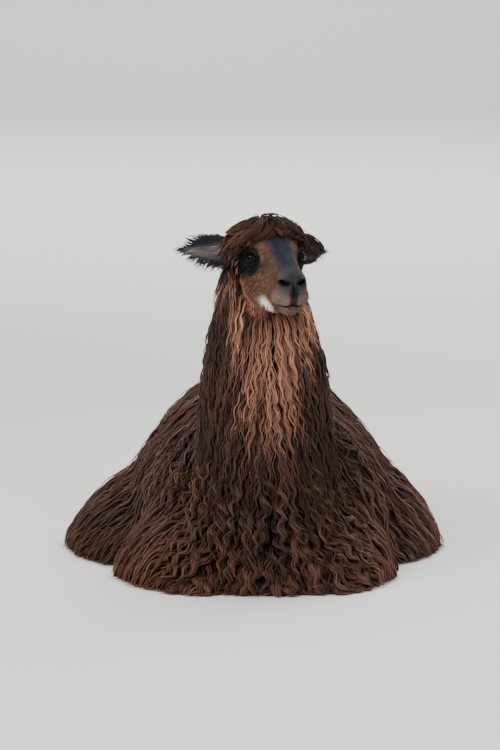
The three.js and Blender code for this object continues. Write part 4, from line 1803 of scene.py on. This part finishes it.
@dataclass
class Planting:
    """The strands of one region of fleece while they grow, one step after another."""

    fleece: Fleece
    region: Region
    growth: Growth
    head: HeadAxes

    def grow(self, inside: Array) -> Strands:
        """Grow the region.

        Args:
            inside: 1 for each triangle of the drape that is in the region, and 0 for the others.

        Returns:
            Its strands.
        """
        self._sow(inside)
        self._trace()
        self._lift()
        self._gather()
        self._wave()
        return self._coloured()

    def _each(self, low: float, high: float) -> Array:
        """Draw a number between two limits for each strand."""
        return self.random.uniform(low, high, self.count)

    def _by_lock(self, low: float, high: float) -> Array:
        """Draw a number between two limits that all strands of a lock share."""
        return self._each(low, high)[self.lead]

    def _sow(self, inside: Array) -> None:
        """Set the roots, choose the lead of each strand's lock, and draw lengths and turns.

        Args:
            inside: 1 for each triangle of the drape that is in the region, and 0 for the others.
        """
        fleece, growth, turf = self.fleece, self.growth, self.fleece.turf
        thickness = inside * (1.0 + 4.0 * fleece.spine(turf.centres))
        sown = turf.sown(thickness, fewer(growth.count, fleece.quick_share))
        self.start, self.skin = turf.places(*sown), turf.places(*sown, fleece.inner)
        self.local = self.head.local(self.start)
        self.count, self.random = len(self.start), turf.random
        area = float((turf.areas * inside).sum())
        apart = 1000.0 * math.sqrt(area / self.count)
        log.info("%s: %.2f m2, a root each %.1f mm", self.region.value, area, apart)
        self.lead = self._leads()
        self.offset = np.linalg.norm(self.start - self.start[self.lead], axis=1) / growth.spacing
        length = growth.length * (self._by_lock(0.78, 1.16) * self._each(0.88, 1.06))
        length = length * fleece.shortened(self.start, self.region)
        self.length = np.minimum(length, 0.016 + 1.06 * self.start[:, 2] + self._each(0.0, 0.012))
        self.yaw = self.random.normal(0.0, growth.yaw, self.count)[self.lead][:, None]

    def _leads(self) -> Array:
        """Choose one strand to lead each lock, and give every strand its nearest lead."""
        chosen = one_per_cell(self.start, self.growth.spacing)
        tree = KDTree(len(chosen))
        for number, strand in enumerate(chosen):
            tree.insert(self.start[strand], number)
        tree.balance()
        return chosen[np.array([tree.find(place)[1] for place in self.start.tolist()])]

    def _veering(self, points: Array, normals: Array) -> Array:
        """Turn the flow by each lock's own yaw."""
        flow = self.fleece.flow(points, normals)
        return flow * np.cos(self.yaw) + np.cross(normals, flow) * np.sin(self.yaw)

    def _trace(self) -> None:
        """Lay the strands along the drape, and again where the first try would cross the face."""
        turf, rings = self.fleece.turf, self.growth.rings
        loose = self.fleece.loose
        self.paths, self.outward = turf.traced(self.start, self.length, rings, self._veering, loose)
        if self.region in (Region.CROWN, Region.NAPE):
            self.length = self.length * self.fleece.kept(self.paths)
            self.paths, self.outward = turf.traced(self.start, self.length, rings, self._veering, loose)
        self.run = spaced(rings)[None, :]

    def _lift(self) -> None:
        """Work out how far each strand stands above or below the drape along its length."""
        growth, run, on_crown = self.growth, self.run, self.region is Region.CROWN
        up = self.local[:, 2]
        self.stray = self._each(0.0, 1.0) < self.fleece.loose_share * growth.loose
        depth = np.linalg.norm(self.start - self.skin, axis=1)[:, None]
        sunk = (self._each(0.0, 1.0) < self.fleece.sunk_share)[self.lead]
        self.low = self._by_lock(0.0, 1.0) ** 1.2 + 0.9 * sunk
        crest = ramp(0.080, 0.100, up) * on_crown
        drop = (growth.drop * self.low * (1.0 - 0.5 * crest) + 0.003 * crest)[:, None]
        flick = (growth.flick * self._by_lock(-0.2, 1.2))[:, None]
        self.near_jaw = ramp(-0.20, -0.14, up)
        rise = ramp(0.0, 1.0, run / blend(0.34, 0.12, 0.7 if on_crown else self.near_jaw[:, None]))
        height = -depth * (1.0 - rise) - (drop + growth.settle) * rise + flick * run**2.5
        rounding = 1.0 - np.clip(self.offset, 0.0, 1.0)[:, None] ** 2 * 1.6
        height += growth.bulge * rounding * ramp(0.1, 0.5, run)
        height += np.where(self.stray, self._each(0.001, 0.005), 0.0)[:, None] * rise
        if on_crown:
            height += np.where(self.stray, self._each(0.001, 0.006), 0.0)[:, None] * run**2
        self.height = height

    def _gather(self) -> None:
        """Draw the strands of each lock together, and measure how far along the lock each point is."""
        growth, run, lead = self.growth, self.run, self.lead
        paths, start = self.paths, self.start
        reach = np.linalg.norm(paths[:, -1] - paths[lead, -1], axis=1)
        close = ramp(3.2, 1.6, reach / growth.spacing) * np.where(self.stray, 0.35, 1.0)
        close = close * (1.0 - 0.8 * self.fleece.spine(start))
        pull = (growth.gather * close)[:, None] * ramp(0.10, 0.85, run)
        lines = blend(paths, paths[lead], pull[..., None])
        self.outward = unit(self.outward + self.outward[lead] * pull[..., None])
        self.lines = lines + self.outward * self.height[..., None]
        onward = unit(paths[lead, 1] - paths[lead, 0])
        ahead = np.sum((start - start[lead]) * onward, axis=1)[:, None]
        self.travelled = blend(run * self.length[:, None] + ahead, run * self.length[lead][:, None], pull)

    def _wave(self) -> None:
        """Set each lock waving as one, nearly in step with the locks beside it, and keep it in bounds."""
        growth, random, run = self.growth, self.random, self.run
        own = np.where(self.stray, self._each(-2.0, 2.0), random.normal(0.0, 0.22, self.count))
        step = 2.6 * drifting(self.start, 0.10, 3) - 2.0 * np.pi * self.start[:, 2] / growth.pitch
        phase = ((random.normal(0.0, 0.7, self.count) + step)[self.lead] + own)[:, None]
        pitch = (growth.pitch * self._by_lock(0.86, 1.16))[:, None]
        size = growth.wave * self._by_lock(0.5, 1.45) * self._each(0.85, 1.15)
        flat_top = ramp(0.45, 0.85, self.outward[..., 2])
        size = size[:, None] * ramp(0.02, 0.40, run) * blend(1.0, 0.5, flat_top)
        side = unit(np.cross(self.outward, unit(np.gradient(self.lines, axis=1))))
        angle = 2.0 * np.pi * self.travelled / pitch + phase
        angle = angle + 0.5 * np.sin(3.0 * run + phase)
        swing, lift = size * np.sin(angle), size * growth.curl * np.cos(angle)
        lines = self.lines + side * swing[..., None] + self.outward * lift[..., None]
        if self.region is Region.CROWN:
            over = np.maximum(self.head.local(lines)[..., 2] - self.fleece.crown_top, 0.0)
            lines = lines - self.fleece.crown_press * over[..., None] * self.head.up
        lines[..., 2] = np.maximum(lines[..., 2], self.fleece.floor_clearance)
        self.lines = np.clip(lines, self.fleece.low, self.fleece.high)

    def _coloured(self) -> Strands:
        """Give the strands their markings, painted shade and light, and widths.

        Returns:
            The strands.
        """
        random, count, markings = self.random, self.count, self.fleece.markings
        spread = random.normal(0.0, 0.010, (count, 3))[self.lead] + random.normal(0.0, 0.004, (count, 3))
        warm = markings.fleece(self.start + spread)
        copper = warm[:, 0]
        # Painted shade: locks lying low, and strands at the edge of a lock, are darker.
        shade = 1.25 - 0.42 * self.low - 0.50 * np.clip(self.offset, 0.0, 1.0)
        shade = shade * self._by_lock(0.72, 1.30) * self._each(0.85, 1.15)
        # The region's tone, partly painted shade and light, where the fleece is not copper.
        shade = np.clip(shade, 0.22, 1.7) * blend(self.growth.tone, 0.97, copper)
        shade = shade * (1.0 + 0.16 * drifting(self.start, 0.30, self.fleece.seed))
        # Painted light: brighter near the jaw and in the collar behind it, where that recess lies in shade.
        shade = shade * (1.0 + 0.28 * self.near_jaw * copper) * (1.0 + 1.1 * markings.collar(self.start))
        if self.region is Region.CROWN:
            _, left, up = self.local.T
            # Painted light on the crown's near temple and over the far ear.
            shade = shade * (1.0 + 1.1 * ramp(-0.015, -0.050, left) * ramp(0.085, 0.045, up))
            shade = shade * (1.0 + 0.60 * ramp(0.050, 0.080, left))
        width = self.growth.width * self._each(0.65, 1.25) * np.where(self.stray, 0.5, 1.0)
        tint = np.clip(self._by_lock(0.0, 1.0) * 0.7 + self._each(0.0, 0.3), 0.0, 1.0)
        return Strands(
            self.lines, self.outward, width, width * 0.65, self._each(-1.2, 1.2),
            tint, shade, warm, np.zeros((count, 3)), self.fleece.unwrapped(self.start, self.region),
        )


@dataclass
class Fleece:
    """The long fleece, grown from the skin out to the drape."""

    hide: Hide
    head: HeadAxes
    markings: Markings
    seed: int = 7
    midline: float = SPINE_X
    middle_x: float = 0.016
    bottom: float = 0.012
    floor_clearance: float = 0.005
    loose_share: float = 0.09
    sunk_share: float = 0.14
    quick_share: float = 0.35
    margin: float = 0.016
    crown_top: float = 0.086
    crown_press: float = 0.55
    chest_half: float = 0.165
    hem_half: float = 0.205

    def prepare(self) -> None:
        """Gather the surfaces that the locks start from and lie on."""
        drape = self.hide.drape
        self.turf = Turf(drape.points, self.hide.drape_normals, drape.triangles, self.seed)
        self.inner = self.hide.skin_points
        self.regions = self._regions()
        low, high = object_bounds()
        self.low = np.array(low) - self.margin
        self.high = np.array(high) + self.margin

    def _regions(self) -> Array:
        """Sort the triangles of the drape into regions; the later choices win.

        Returns:
            Each triangle's region by number, or -1 where no long fleece grows.
        """
        turf = self.turf
        kinds = self.hide.kinds[turf.triangles[:, 0]]
        kind = {name: kinds == number for number, name in enumerate(self.hide.names)}
        x, y, z = turf.centres.T
        _, facing_y, facing_z = turf.facing.T
        forward, left, up = self.head.local(turf.centres).T
        aside = np.abs(x - self.middle_x)
        legs = kind["hindleg_left"] | kind["hindleg_right"] | kind["foreleg_left"] | kind["foreleg_right"]
        body = kind["trunk"] | legs
        is_left = x > self.midline
        low = body & ((z < 0.20) | legs)
        under_jaw = (up > -0.112) & (forward > -0.030)
        neck = kind["neck"] & ~under_jaw
        nape = kind["head"] & ~under_jaw & (Markings.on_face(forward, left, up) <= 0.5)
        ear_base = (kind["ear_left"] | kind["ear_right"]) & (left > -0.078) & (left < 0.088)
        ear_base |= kind["ear_left"] & (left < 0.130) & (facing_z > 0.05)
        choices = (
            (Region.FLANK_LEFT, body & is_left),
            (Region.FLANK_RIGHT, body & ~is_left),
            (Region.HAUNCH_LEFT, low & is_left),
            (Region.HAUNCH_RIGHT, low & ~is_left),
            (Region.CHEST, body & (y < -0.16) & (aside < self.chest_half) & (facing_y < -0.12)),
            (Region.HEM, body & (z < 0.115) & (y < -0.12) & (aside < self.hem_half)),
            (Region.RUMP, (body & (y > 0.30)) | kind["tail"]),
            (Region.NAPE, neck),
            (Region.THROAT, neck & (facing_y < -0.30)),
            (Region.NAPE, nape),
            (Region.CROWN, kind["topknot"] | ear_base),
        )
        regions = np.full(len(kinds), -1)
        for region, chosen in choices:
            regions[chosen] = list(Region).index(region)
        regions[(z < self.bottom) & (facing_z < -0.5)] = -1
        regions[kind["tail"] & (z < 0.035)] = -1
        return regions

    def pieces(self) -> list[bpy.types.Object]:
        """Grow every region's locks.

        Returns:
            The pieces of fleece.
        """
        finishes = {
            "fleece": LockFinish("fleece_dark", roughness=0.50, gloss=0.13, depth=0.0009).build(),
            "neck_fleece": LockFinish("fleece_neck", roughness=0.48, gloss=0.11, depth=0.0008).build(),
            "crown_fleece": LockFinish("fleece_crown", roughness=0.52, gloss=0.09, depth=0.0008).build(),
        }
        made = []
        for number, region in enumerate(Region):
            growth = GROWTH[region]
            strands = Planting(self, region, growth, self.head).grow((self.regions == number).astype(float))
            made.append(LockMesh(f"fleece_{region.value}", finishes[growth.slot], growth.slot).build(strands))
        return made

    @staticmethod
    def spine(points: Array) -> Array:
        """Tell how near places are to the parting along the back, from 0 to 1."""
        along = ramp(0.36, 0.42, points[:, 2]) * ramp(-0.16, -0.10, points[:, 1])
        return bell(points[:, 0], SPINE_X, 0.013) * along

    def shortened(self, points: Array, region: Region) -> Array:
        """Shorten the locks where the coat is shorter.

        Args:
            points: The roots.
            region: Their region.

        Returns:
            What each root's length is multiplied by.
        """
        forward, left, up = self.head.local(points).T
        side = np.abs(left)
        if region is Region.CROWN:
            short = blend(1.0, 0.58, ramp(-0.030, 0.010, forward) * ramp(0.05, 0.02, side))
            temple = blend(1.0, 1.35, ramp(0.034, 0.050, side) * ramp(0.07, 0.03, up))
            return short * temple * blend(1.0, 0.62, ramp(0.078, 0.092, left))
        if region is Region.NAPE:
            return blend(1.0, 0.55, ramp(-0.13, -0.06, up) * ramp(-0.08, -0.03, forward))
        if region is Region.HEM:
            return blend(1.0, 0.6, ramp(0.14, 0.20, np.abs(points[:, 0] - self.middle_x)))
        return blend(0.66, 1.0, ramp(0.02, 0.16, points[:, 2]))

    def kept(self, paths: Array) -> Array:
        """Tell how much of each path stays clear of the face and of the right ear, as a share of it."""
        count, rings = paths.shape[:2]
        forward, left, up = self.head.local(paths.reshape(-1, 3)).T
        hairline = 0.043 - 0.28 * np.abs(left)
        face = (Markings.on_face(forward, left, up) > 0.5) & (up < hairline) & (forward > -0.040)
        ear = (left < -0.084 - 0.016 * ramp(0.025, -0.015, up)) & (up < 0.04) & (up > -0.05)
        barred = (face | ear).reshape(count, rings)
        first = np.where(barred.any(axis=1), barred.argmax(axis=1), rings)
        return np.clip((first - 0.5) / (rings - 1), 0.18, 1.0)

    @staticmethod
    def loose(points: Array) -> Array:
        """Tell how far the locks hang free of the drape, from 0 to 1: just over the floor."""
        return ramp(0.065, 0.030, points[:, 2])

    def flow(self, points: Array, normals: Array) -> Array:
        """Tell which way the fleece falls at each place.

        Args:
            points: Places on the drape.
            normals: The drape's outward directions there.

        Returns:
            Unit directions along the drape.
        """
        local = self.head.local(points)
        aside, up = np.abs(local[:, 1]), local[:, 2]
        on_crown = (ramp(-0.035, 0.005, up) * ramp(0.19, 0.13, aside))[:, None]
        mixed = unit(self._fall(points)) * (1.0 - on_crown) + self._off_crown(local) * on_crown
        return unit(flattened(mixed, normals))

    def _fall(self, points: Array) -> Array:
        """Tell how the fleece of neck and body falls: down both sides, and outwards over the floor."""
        x, y, z = points.T
        side = np.tanh((x - self.midline) / 0.03)
        onto_back = ramp(-0.14, -0.05, y)
        down = np.zeros_like(points)
        down[:, 2] = -1.0
        lobe = ramp(0.09, 0.21, np.abs(x - self.midline)) * ramp(0.36, 0.26, z) * (1.0 - onto_back)
        down[:, 0] += side * (0.55 * onto_back + 0.25 + 0.65 * lobe)
        down[:, 1] += 0.22 * onto_back - 0.16 * (1.0 - onto_back)
        past_chest = np.clip(np.abs(x - self.middle_x) - 0.17, 0.0, 1.0)
        ahead = y - np.clip(y, -0.25, 0.35) - 0.8 * ramp(0.10, -0.12, y) * past_chest
        away = unit(np.stack((x - self.middle_x, ahead, np.zeros_like(z)), axis=1))
        spread = ramp(0.09, 0.01, z)[:, None]
        return down * (1.0 - 0.45 * spread) + away * 0.42 * spread

    def _off_crown(self, local: Array) -> Array:
        """Tell how the crown's locks fall: from a parting over the brow, the temples and the neck."""
        forward, left, up = local.T
        from_part = left + 0.010
        behind = ramp(-0.060, -0.100, forward)
        temple = ramp(0.012, 0.048, np.abs(from_part)) * ramp(0.095, 0.060, up) * ramp(0.02, -0.01, left)
        onward = blend(blend(0.75, -0.70, temple), -0.8, behind) * blend(1.0, 0.2, ramp(0.01, 0.04, left))
        outward = np.tanh(from_part / 0.032) * blend(0.95, 0.50, temple)
        downward = blend(-0.75, -0.25, ramp(0.075, 0.095, left))
        return unit(self.head.turned(np.stack((onward, outward, downward), axis=1)))

    def unwrapped(self, points: Array, region: Region) -> Array:
        """Give each root its place on an unwrap of the skin's own shape.

        Args:
            points: The roots.
            region: Their region.

        Returns:
            Two numbers from 0 to 1 for each root.
        """
        x, y, z = points.T
        if region is Region.CROWN:
            forward, left, up = (self.head.local(points) - np.array((-0.034, -0.005, -0.02))).T
            lean = np.arctan2(np.hypot(forward, left), up)
            flat = np.stack((lean * left, lean * forward), axis=1)
            flat = flat / np.maximum(np.hypot(forward, left), 1e-6)[:, None]
        elif region in (Region.THROAT, Region.NAPE, Region.CHEST, Region.HEM):
            flat = np.stack((np.arctan2(x - 0.010, -(y + 0.275)), z), axis=1)
        else:
            flat = np.stack((y, np.arctan2(x - self.midline, z + 0.05)), axis=1)
        return unwrapped_square(flat)


def unwrapped_square(flat: Array) -> Array:
    """Fit an unwrap to the square from 0 to 1, leaving room for a patch at its edge."""
    low, high = flat.min(axis=0), flat.max(axis=0)
    return 0.006 + 0.988 * (flat - low) / (high - low)


@dataclass(frozen=True)
class LashRow:
    """One row of lashes: how they start from the lid, how far they lean off it and how far they bend down."""

    upper: bool
    count: int
    length: float
    lean: float
    bend: float


@dataclass
class ShortCoat:
    """The short hair of the face, the hair of the ears and the lashes."""

    hide: Hide
    head: HeadAxes
    markings: Markings
    seed: int = 23
    face_count: int = 4900
    jaw_count: int = 900
    ear_count: int = 1350
    quick_share: float = 0.4
    face_rings: int = 5
    ear_rings: int = 6
    lash_rings: int = 6
    longest: float = 0.040
    rooted: float = 0.0006
    short_rim: float = 0.5
    lash_width: float = 0.00085
    lash_reach: float = 0.86
    lash_rows: tuple[LashRow, ...] = (
        LashRow(True, 34, 0.0150, 0.15, -0.55),
        LashRow(False, 16, 0.0070, -0.35, -0.1),
    )
    longer: tuple[tuple[float, Mask], ...] = (
        (0.017, Mask(Rise(0.020, -0.045))),
        (0.026, Mask(Rise(0.000, -0.050), None, Rise(-0.010, -0.040))),
        (0.007, Mask(Rise(0.085, 0.03), None, Rise(-0.080, -0.105))),
        (0.004, Mask(Rise(0.115, 0.085), None, Rise(-0.070, -0.100))),
        (0.005, Mask(Rise(0.08, 0.11), None, Rise(-0.088, -0.10))),
    )
    flat_bridge: Mask = Mask(None, Rise(0.030, 0.020), Rise(-0.05, -0.03))
    bridge: Mask = Mask(None, Rise(0.034, 0.020), Rise(-0.050, -0.030))
    lips: Mask = Mask(Rise(0.095, 0.115), None, Rise(-0.045, -0.058))
    bare_nose: Mask = Mask(Rise(0.112, 0.122), None, Rise(-0.058, -0.050))
    jowl: Mask = Mask(Rise(0.0, -0.04), None, Rise(-0.01, -0.04))

    def pieces(self) -> list[bpy.types.Object]:
        """Grow the short hair.

        Returns:
            Its pieces.
        """
        surface = self.hide.surface
        self.turf = Turf(surface.points, surface.normals(), surface.triangles, self.seed)
        finish = LockFinish("face_hair", roughness=0.6, gloss=0.06, depth=0.0004, root=0.62).build()
        ears = LockFinish("ear_hair", roughness=0.55, gloss=0.14, depth=0.0004, root=0.55).build()
        lashes = LockFinish("lash_hair", roughness=0.35, depth=0.0002).build()
        made = [
            LockMesh("coat_face", finish, "face_coat").build(self._face(jaw=False)),
            LockMesh("coat_lower_jaw", finish, "lip_coat").build(self._face(jaw=True)),
            LockMesh("coat_lashes", lashes, "face_coat").build(self._lashes()),
        ]
        for side, name in ((1.0, "left"), (-1.0, "right")):
            made.append(LockMesh(f"coat_ear_{name}", ears, "ear_coat").build(self._ear(side)))
        return made

    def _sown(self, weight: Array, count: int) -> tuple[Array, Array]:
        """Sow roots by weight, and give them with their triangles."""
        triangles, weights = self.turf.sown(weight, fewer(count, self.quick_share))
        return self.turf.places(triangles, weights), triangles

    def _face(self, jaw: bool) -> Strands:
        """Grow the face's hair, or the lower jaw's.

        Args:
            jaw: Whether it is the lower jaw's.

        Returns:
            The strands.
        """
        start, _ = self._sown(self._face_weight(jaw), self.jaw_count if jaw else self.face_count)
        random, count = self.turf.random, len(start)
        place = self.head.local(start)
        forward, left, up = place.T
        length = np.minimum(self._face_length(place), self.longest) * random.uniform(0.75, 1.25, count)
        paths, outward = self.turf.traced(start, length, self.face_rings, self._face_flow)
        run = spaced(self.face_rings)[None, :]
        shaggy = ramp(-0.080, -0.105, up) * ramp(0.10, 0.07, forward)
        shaggy = np.maximum(shaggy, 0.8 * self.jowl.at(forward, np.abs(left), up))
        lift = (self.rooted + (0.13 + 0.08 * shaggy) * length * random.uniform(0.4, 1.4, count))[:, None]
        height = -self.rooted * (1.0 - run) + lift * run**1.3
        lines = paths + outward * height[..., None]
        side = unit(np.cross(outward, unit(np.gradient(lines, axis=1))))
        sway = (random.normal(0.0, 0.10, count) * length)[:, None] * run**2
        lines = lines + side * sway[..., None]
        width = 0.0010 + 0.10 * length
        tint = random.uniform(0.3, 1.0, count)
        spot = start + random.normal(0.0, 0.0022, (count, 3))
        warm, cool = self.markings.warm(spot), self.markings.cool(spot)
        # Painted light: pale hair and copper hair under and behind the jaw are brightened where they lie in
        # shade.
        shade = random.uniform(0.66, 1.04, count) * (1.0 + 0.60 * cool[:, 2])
        shade = shade * (1.0 + cool[:, 0] * random.uniform(-0.1, 0.9, count)) * (1.0 + 0.55 * warm[:, 0])
        flat = np.stack((np.arctan2(left, up + 0.04), forward), axis=1)
        return Strands(
            lines, outward, width * random.uniform(0.7, 1.2, count), width * 0.5, np.zeros(count),
            tint, shade, warm, cool, unwrapped_square(flat),
        )

    def _face_weight(self, jaw: bool) -> Array:
        """Tell how thickly hair grows on each triangle of the face, or of the lower jaw.

        Args:
            jaw: Whether it is the lower jaw's.

        Returns:
            A number for each triangle.
        """
        local = self.head.local(self.turf.centres)
        forward, left, up = local.T
        weight = Markings.on_face(forward, left, up) * self._haired(local)
        below = (up < self.markings.mouth.line(forward, np.abs(left))) & (forward > 0.060)
        weight = weight * (below if jaw else ~below)
        return weight * blend(1.0, 0.60, ramp(0.0, -0.04, forward))

    def _haired(self, local: Array) -> Array:
        """Tell where the face is haired: not in the eyes, nostrils or mouth."""
        forward, left, up = local.T
        keep = np.ones(len(local))
        for side in (-1.0, 1.0):
            eye = EyeShape(side)
            away = local - eye.middle
            distance = np.linalg.norm(away, axis=1)
            edge = eye.opening(away / np.maximum(distance, 1e-9)[:, None])
            ahead = away @ eye.gaze > 0.0
            keep = keep * np.where(ahead & (distance < 0.024) & (edge < 0.16), 0.0, 1.0)
        nose = self.bare_nose.at(forward, np.abs(left), up)
        line = self.markings.mouth.line(forward, np.abs(left))
        mouth = self.markings.mouth.inside(forward) * bell(up - line, 0.0, 0.0030)
        return keep * (1.0 - nose) * (1.0 - mouth)

    def _face_length(self, local: Array) -> Array:
        """Give the hair's length on each part of the face: short on the muzzle, long on jowls and chin."""
        forward, left, up = local.T
        places = (forward, np.abs(left), up)
        length = blend(0.0050, 0.0095, ramp(0.11, 0.03, forward))
        for more, mask in self.longer:
            length = length + more * mask.at(*places)
        return length * (1.0 - 0.35 * self.flat_bridge.at(*places))

    def _face_flow(self, points: Array, normals: Array) -> Array:
        """Tell which way the face's hair lies: away from the nose, then down over cheeks and chin.

        Args:
            points: Places on the face.
            normals: The skin's outward directions there.

        Returns:
            Unit directions along the skin.
        """
        local = self.head.local(points)
        forward, left, up = local.T
        places = (forward, np.abs(left), up)
        bridge, lips = self.bridge.at(*places), self.lips.at(*places)
        under = np.maximum(ramp(-0.085, -0.100, up), ramp(0.0, -0.045, forward) * ramp(-0.01, -0.04, up))
        flow = np.stack((
            -1.0 + 0.75 * lips + 0.45 * under,
            np.sign(left) * 0.35 * (1.0 - bridge),
            blend(-0.55, 0.25, bridge) - 0.7 * lips - 0.7 * under,
        ), axis=1)
        for side in (-1.0, 1.0):
            away = local - EyeShape(side).middle
            near = ramp(0.045, 0.022, np.linalg.norm(away, axis=1))[:, None]
            flow = flow + unit(away) * near * 1.2
        return unit(flattened(self.head.turned(flow), normals))

    def _ear(self, side: float) -> Strands:
        """Grow one ear's hair: streaks inside it, and a fringe that reaches past its rims.

        Args:
            side: 1 for the left ear, -1 for the right.

        Returns:
            The strands.
        """
        random = self.turf.random
        start, triangles = self._sown(self._ear_weight(side), self.ear_count)
        count, normal = len(start), self.turf.facing[triangles]
        place = self.head.local(start)
        ear = EarShape.of(place, side)
        reach, height, rim = ear.measured(place)
        over, under = np.sign(height), height < 0.0
        inside = ear.lining(place, self.head.facing(normal))
        out = ramp(0.40, 0.85, rim)
        length = 0.012 + 0.006 * out + 0.004 * under * out + 0.008 * ramp(0.85, 1.0, reach) + 0.008 * inside
        swell = 0.010 * bell(reach, 0.70, 0.20) - 0.006 * bell(reach, 0.30, 0.20)
        length = length + (over > 0.0) * out * swell
        length = length * (1.0 - self.short_rim * out * (side > 0.0)) * random.uniform(0.5, 1.35, count)
        flow = ear.axis[None] + ear.across[None] * (over * out * 0.55)[:, None]
        flow = flow + random.normal(0.0, 0.16, (count, 3))
        flow[:, 2] -= 0.45 * out * under
        along = flattened(unit(self.head.turned(flow)), normal, 0.9)
        run = spaced(self.ear_rings)[None, :, None]
        rise = (0.05 + 0.10 * out)[:, None, None] * length[:, None, None]
        lift = rise * run**1.4 - self.rooted * (1.0 - run)
        lines = start[:, None] + along[:, None] * length[:, None, None] * run + normal[:, None] * lift
        lines[..., 2] -= (0.18 * length[:, None] * run[..., 0] ** 2) * (0.4 + 0.6 * under)[:, None]
        outward = np.repeat(normal[:, None], self.ear_rings, axis=1)
        width = (0.0010 + 0.040 * length) * random.uniform(0.7, 1.2, count)
        shade = random.uniform(0.75, 1.25, count)
        cool = self.markings.cool(start)
        cool[:, 2] = inside * (0.04 + 0.30 * random.uniform(0.0, 1.0, count) ** 3.0)
        cool[:, 1] = np.maximum(cool[:, 1], 0.5 * (1.0 - inside))
        angle = np.arctan2(height, (place - ear.base) @ ear.front)
        return Strands(
            lines, outward, width, width * 0.55, np.zeros(count), random.uniform(0.0, 1.0, count), shade,
            self.markings.warm(start), cool, unwrapped_square(np.stack((reach, angle), axis=1)),
        )

    def _ear_weight(self, side: float) -> Array:
        """Tell how thickly hair grows on each triangle of an ear: thinly on its lining.

        Args:
            side: 1 for the left ear, -1 for the right.

        Returns:
            A number for each triangle.
        """
        local = self.head.local(self.turf.centres)
        mine = Markings.on_ears(local[:, 0], local[:, 1] * side, local[:, 2])
        ear = EarShape.of(local[mine > 0.5], side)
        lining = ear.lining(local, self.head.facing(self.turf.facing))
        return mine * blend(1.0, 0.50, lining)

    def _lashes(self) -> Strands:
        """Set the lashes along the edges of the upper and lower lids.

        Returns:
            The strands.
        """
        random = self.turf.random
        lines, outward, roots = [], [], []
        run = spaced(self.lash_rings)[:, None]
        for side in (-1.0, 1.0):
            eye = EyeShape(side)
            over = np.repeat(self.head.turned(eye.over)[None], self.lash_rings, axis=0)
            for row in self.lash_rows:
                bend = np.array((0.0, 0.0, row.bend))[None]
                for across in np.linspace(-self.lash_reach, self.lash_reach, row.count) * eye.half_width:
                    across = across + random.normal(0.0, 0.015)
                    upright = eye.lid(across, row.upper)
                    heading = unit(eye.gaze + eye.inner * math.tan(across) + eye.over * math.tan(upright))
                    root = eye.middle + heading * (eye.radius + 0.0012)
                    first = unit(heading + eye.over * row.lean)[None]
                    reach = row.length * random.uniform(0.75, 1.15)
                    lines.append(self.head.world(root + (first * run + bend * run**2) * reach))
                    outward.append(over)
                    roots.append((across + 2.0 * side, upright + 0.01 * len(roots) / 100))
        count = len(lines)
        width = np.full(count, self.lash_width)
        return Strands(
            np.array(lines), np.array(outward), width, width, np.zeros(count), np.zeros(count),
            np.full(count, 0.8), np.zeros((count, 3)), np.tile((0.0, 1.0, 0.0), (count, 1)),
            unwrapped_square(np.array(roots)),
        )


# ---- Putting the animal together ----


def main() -> None:
    """Build the scene."""
    logging.basicConfig(level=logging.INFO, format="%(name)s: %(message)s")
    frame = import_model()
    studio = Studio()
    studio.camera()
    floor = studio.floor()
    studio.lights()
    head = HeadAxes.from_frame()
    markings = Markings(head)
    hide = Hide(head, markings, frame["nodes"])
    hide.cast()
    fleece = Fleece(hide, head, markings)
    fleece.prepare()
    hide.sculpt()
    for piece in (floor, hide.dress(), *Eyes(head).build()):
        log.info("%s: %d faces", piece.name, len(piece.data.polygons))
    fleece.pieces()
    ShortCoat(hide, head, markings).pieces()


if __name__ == "__main__":
    main()
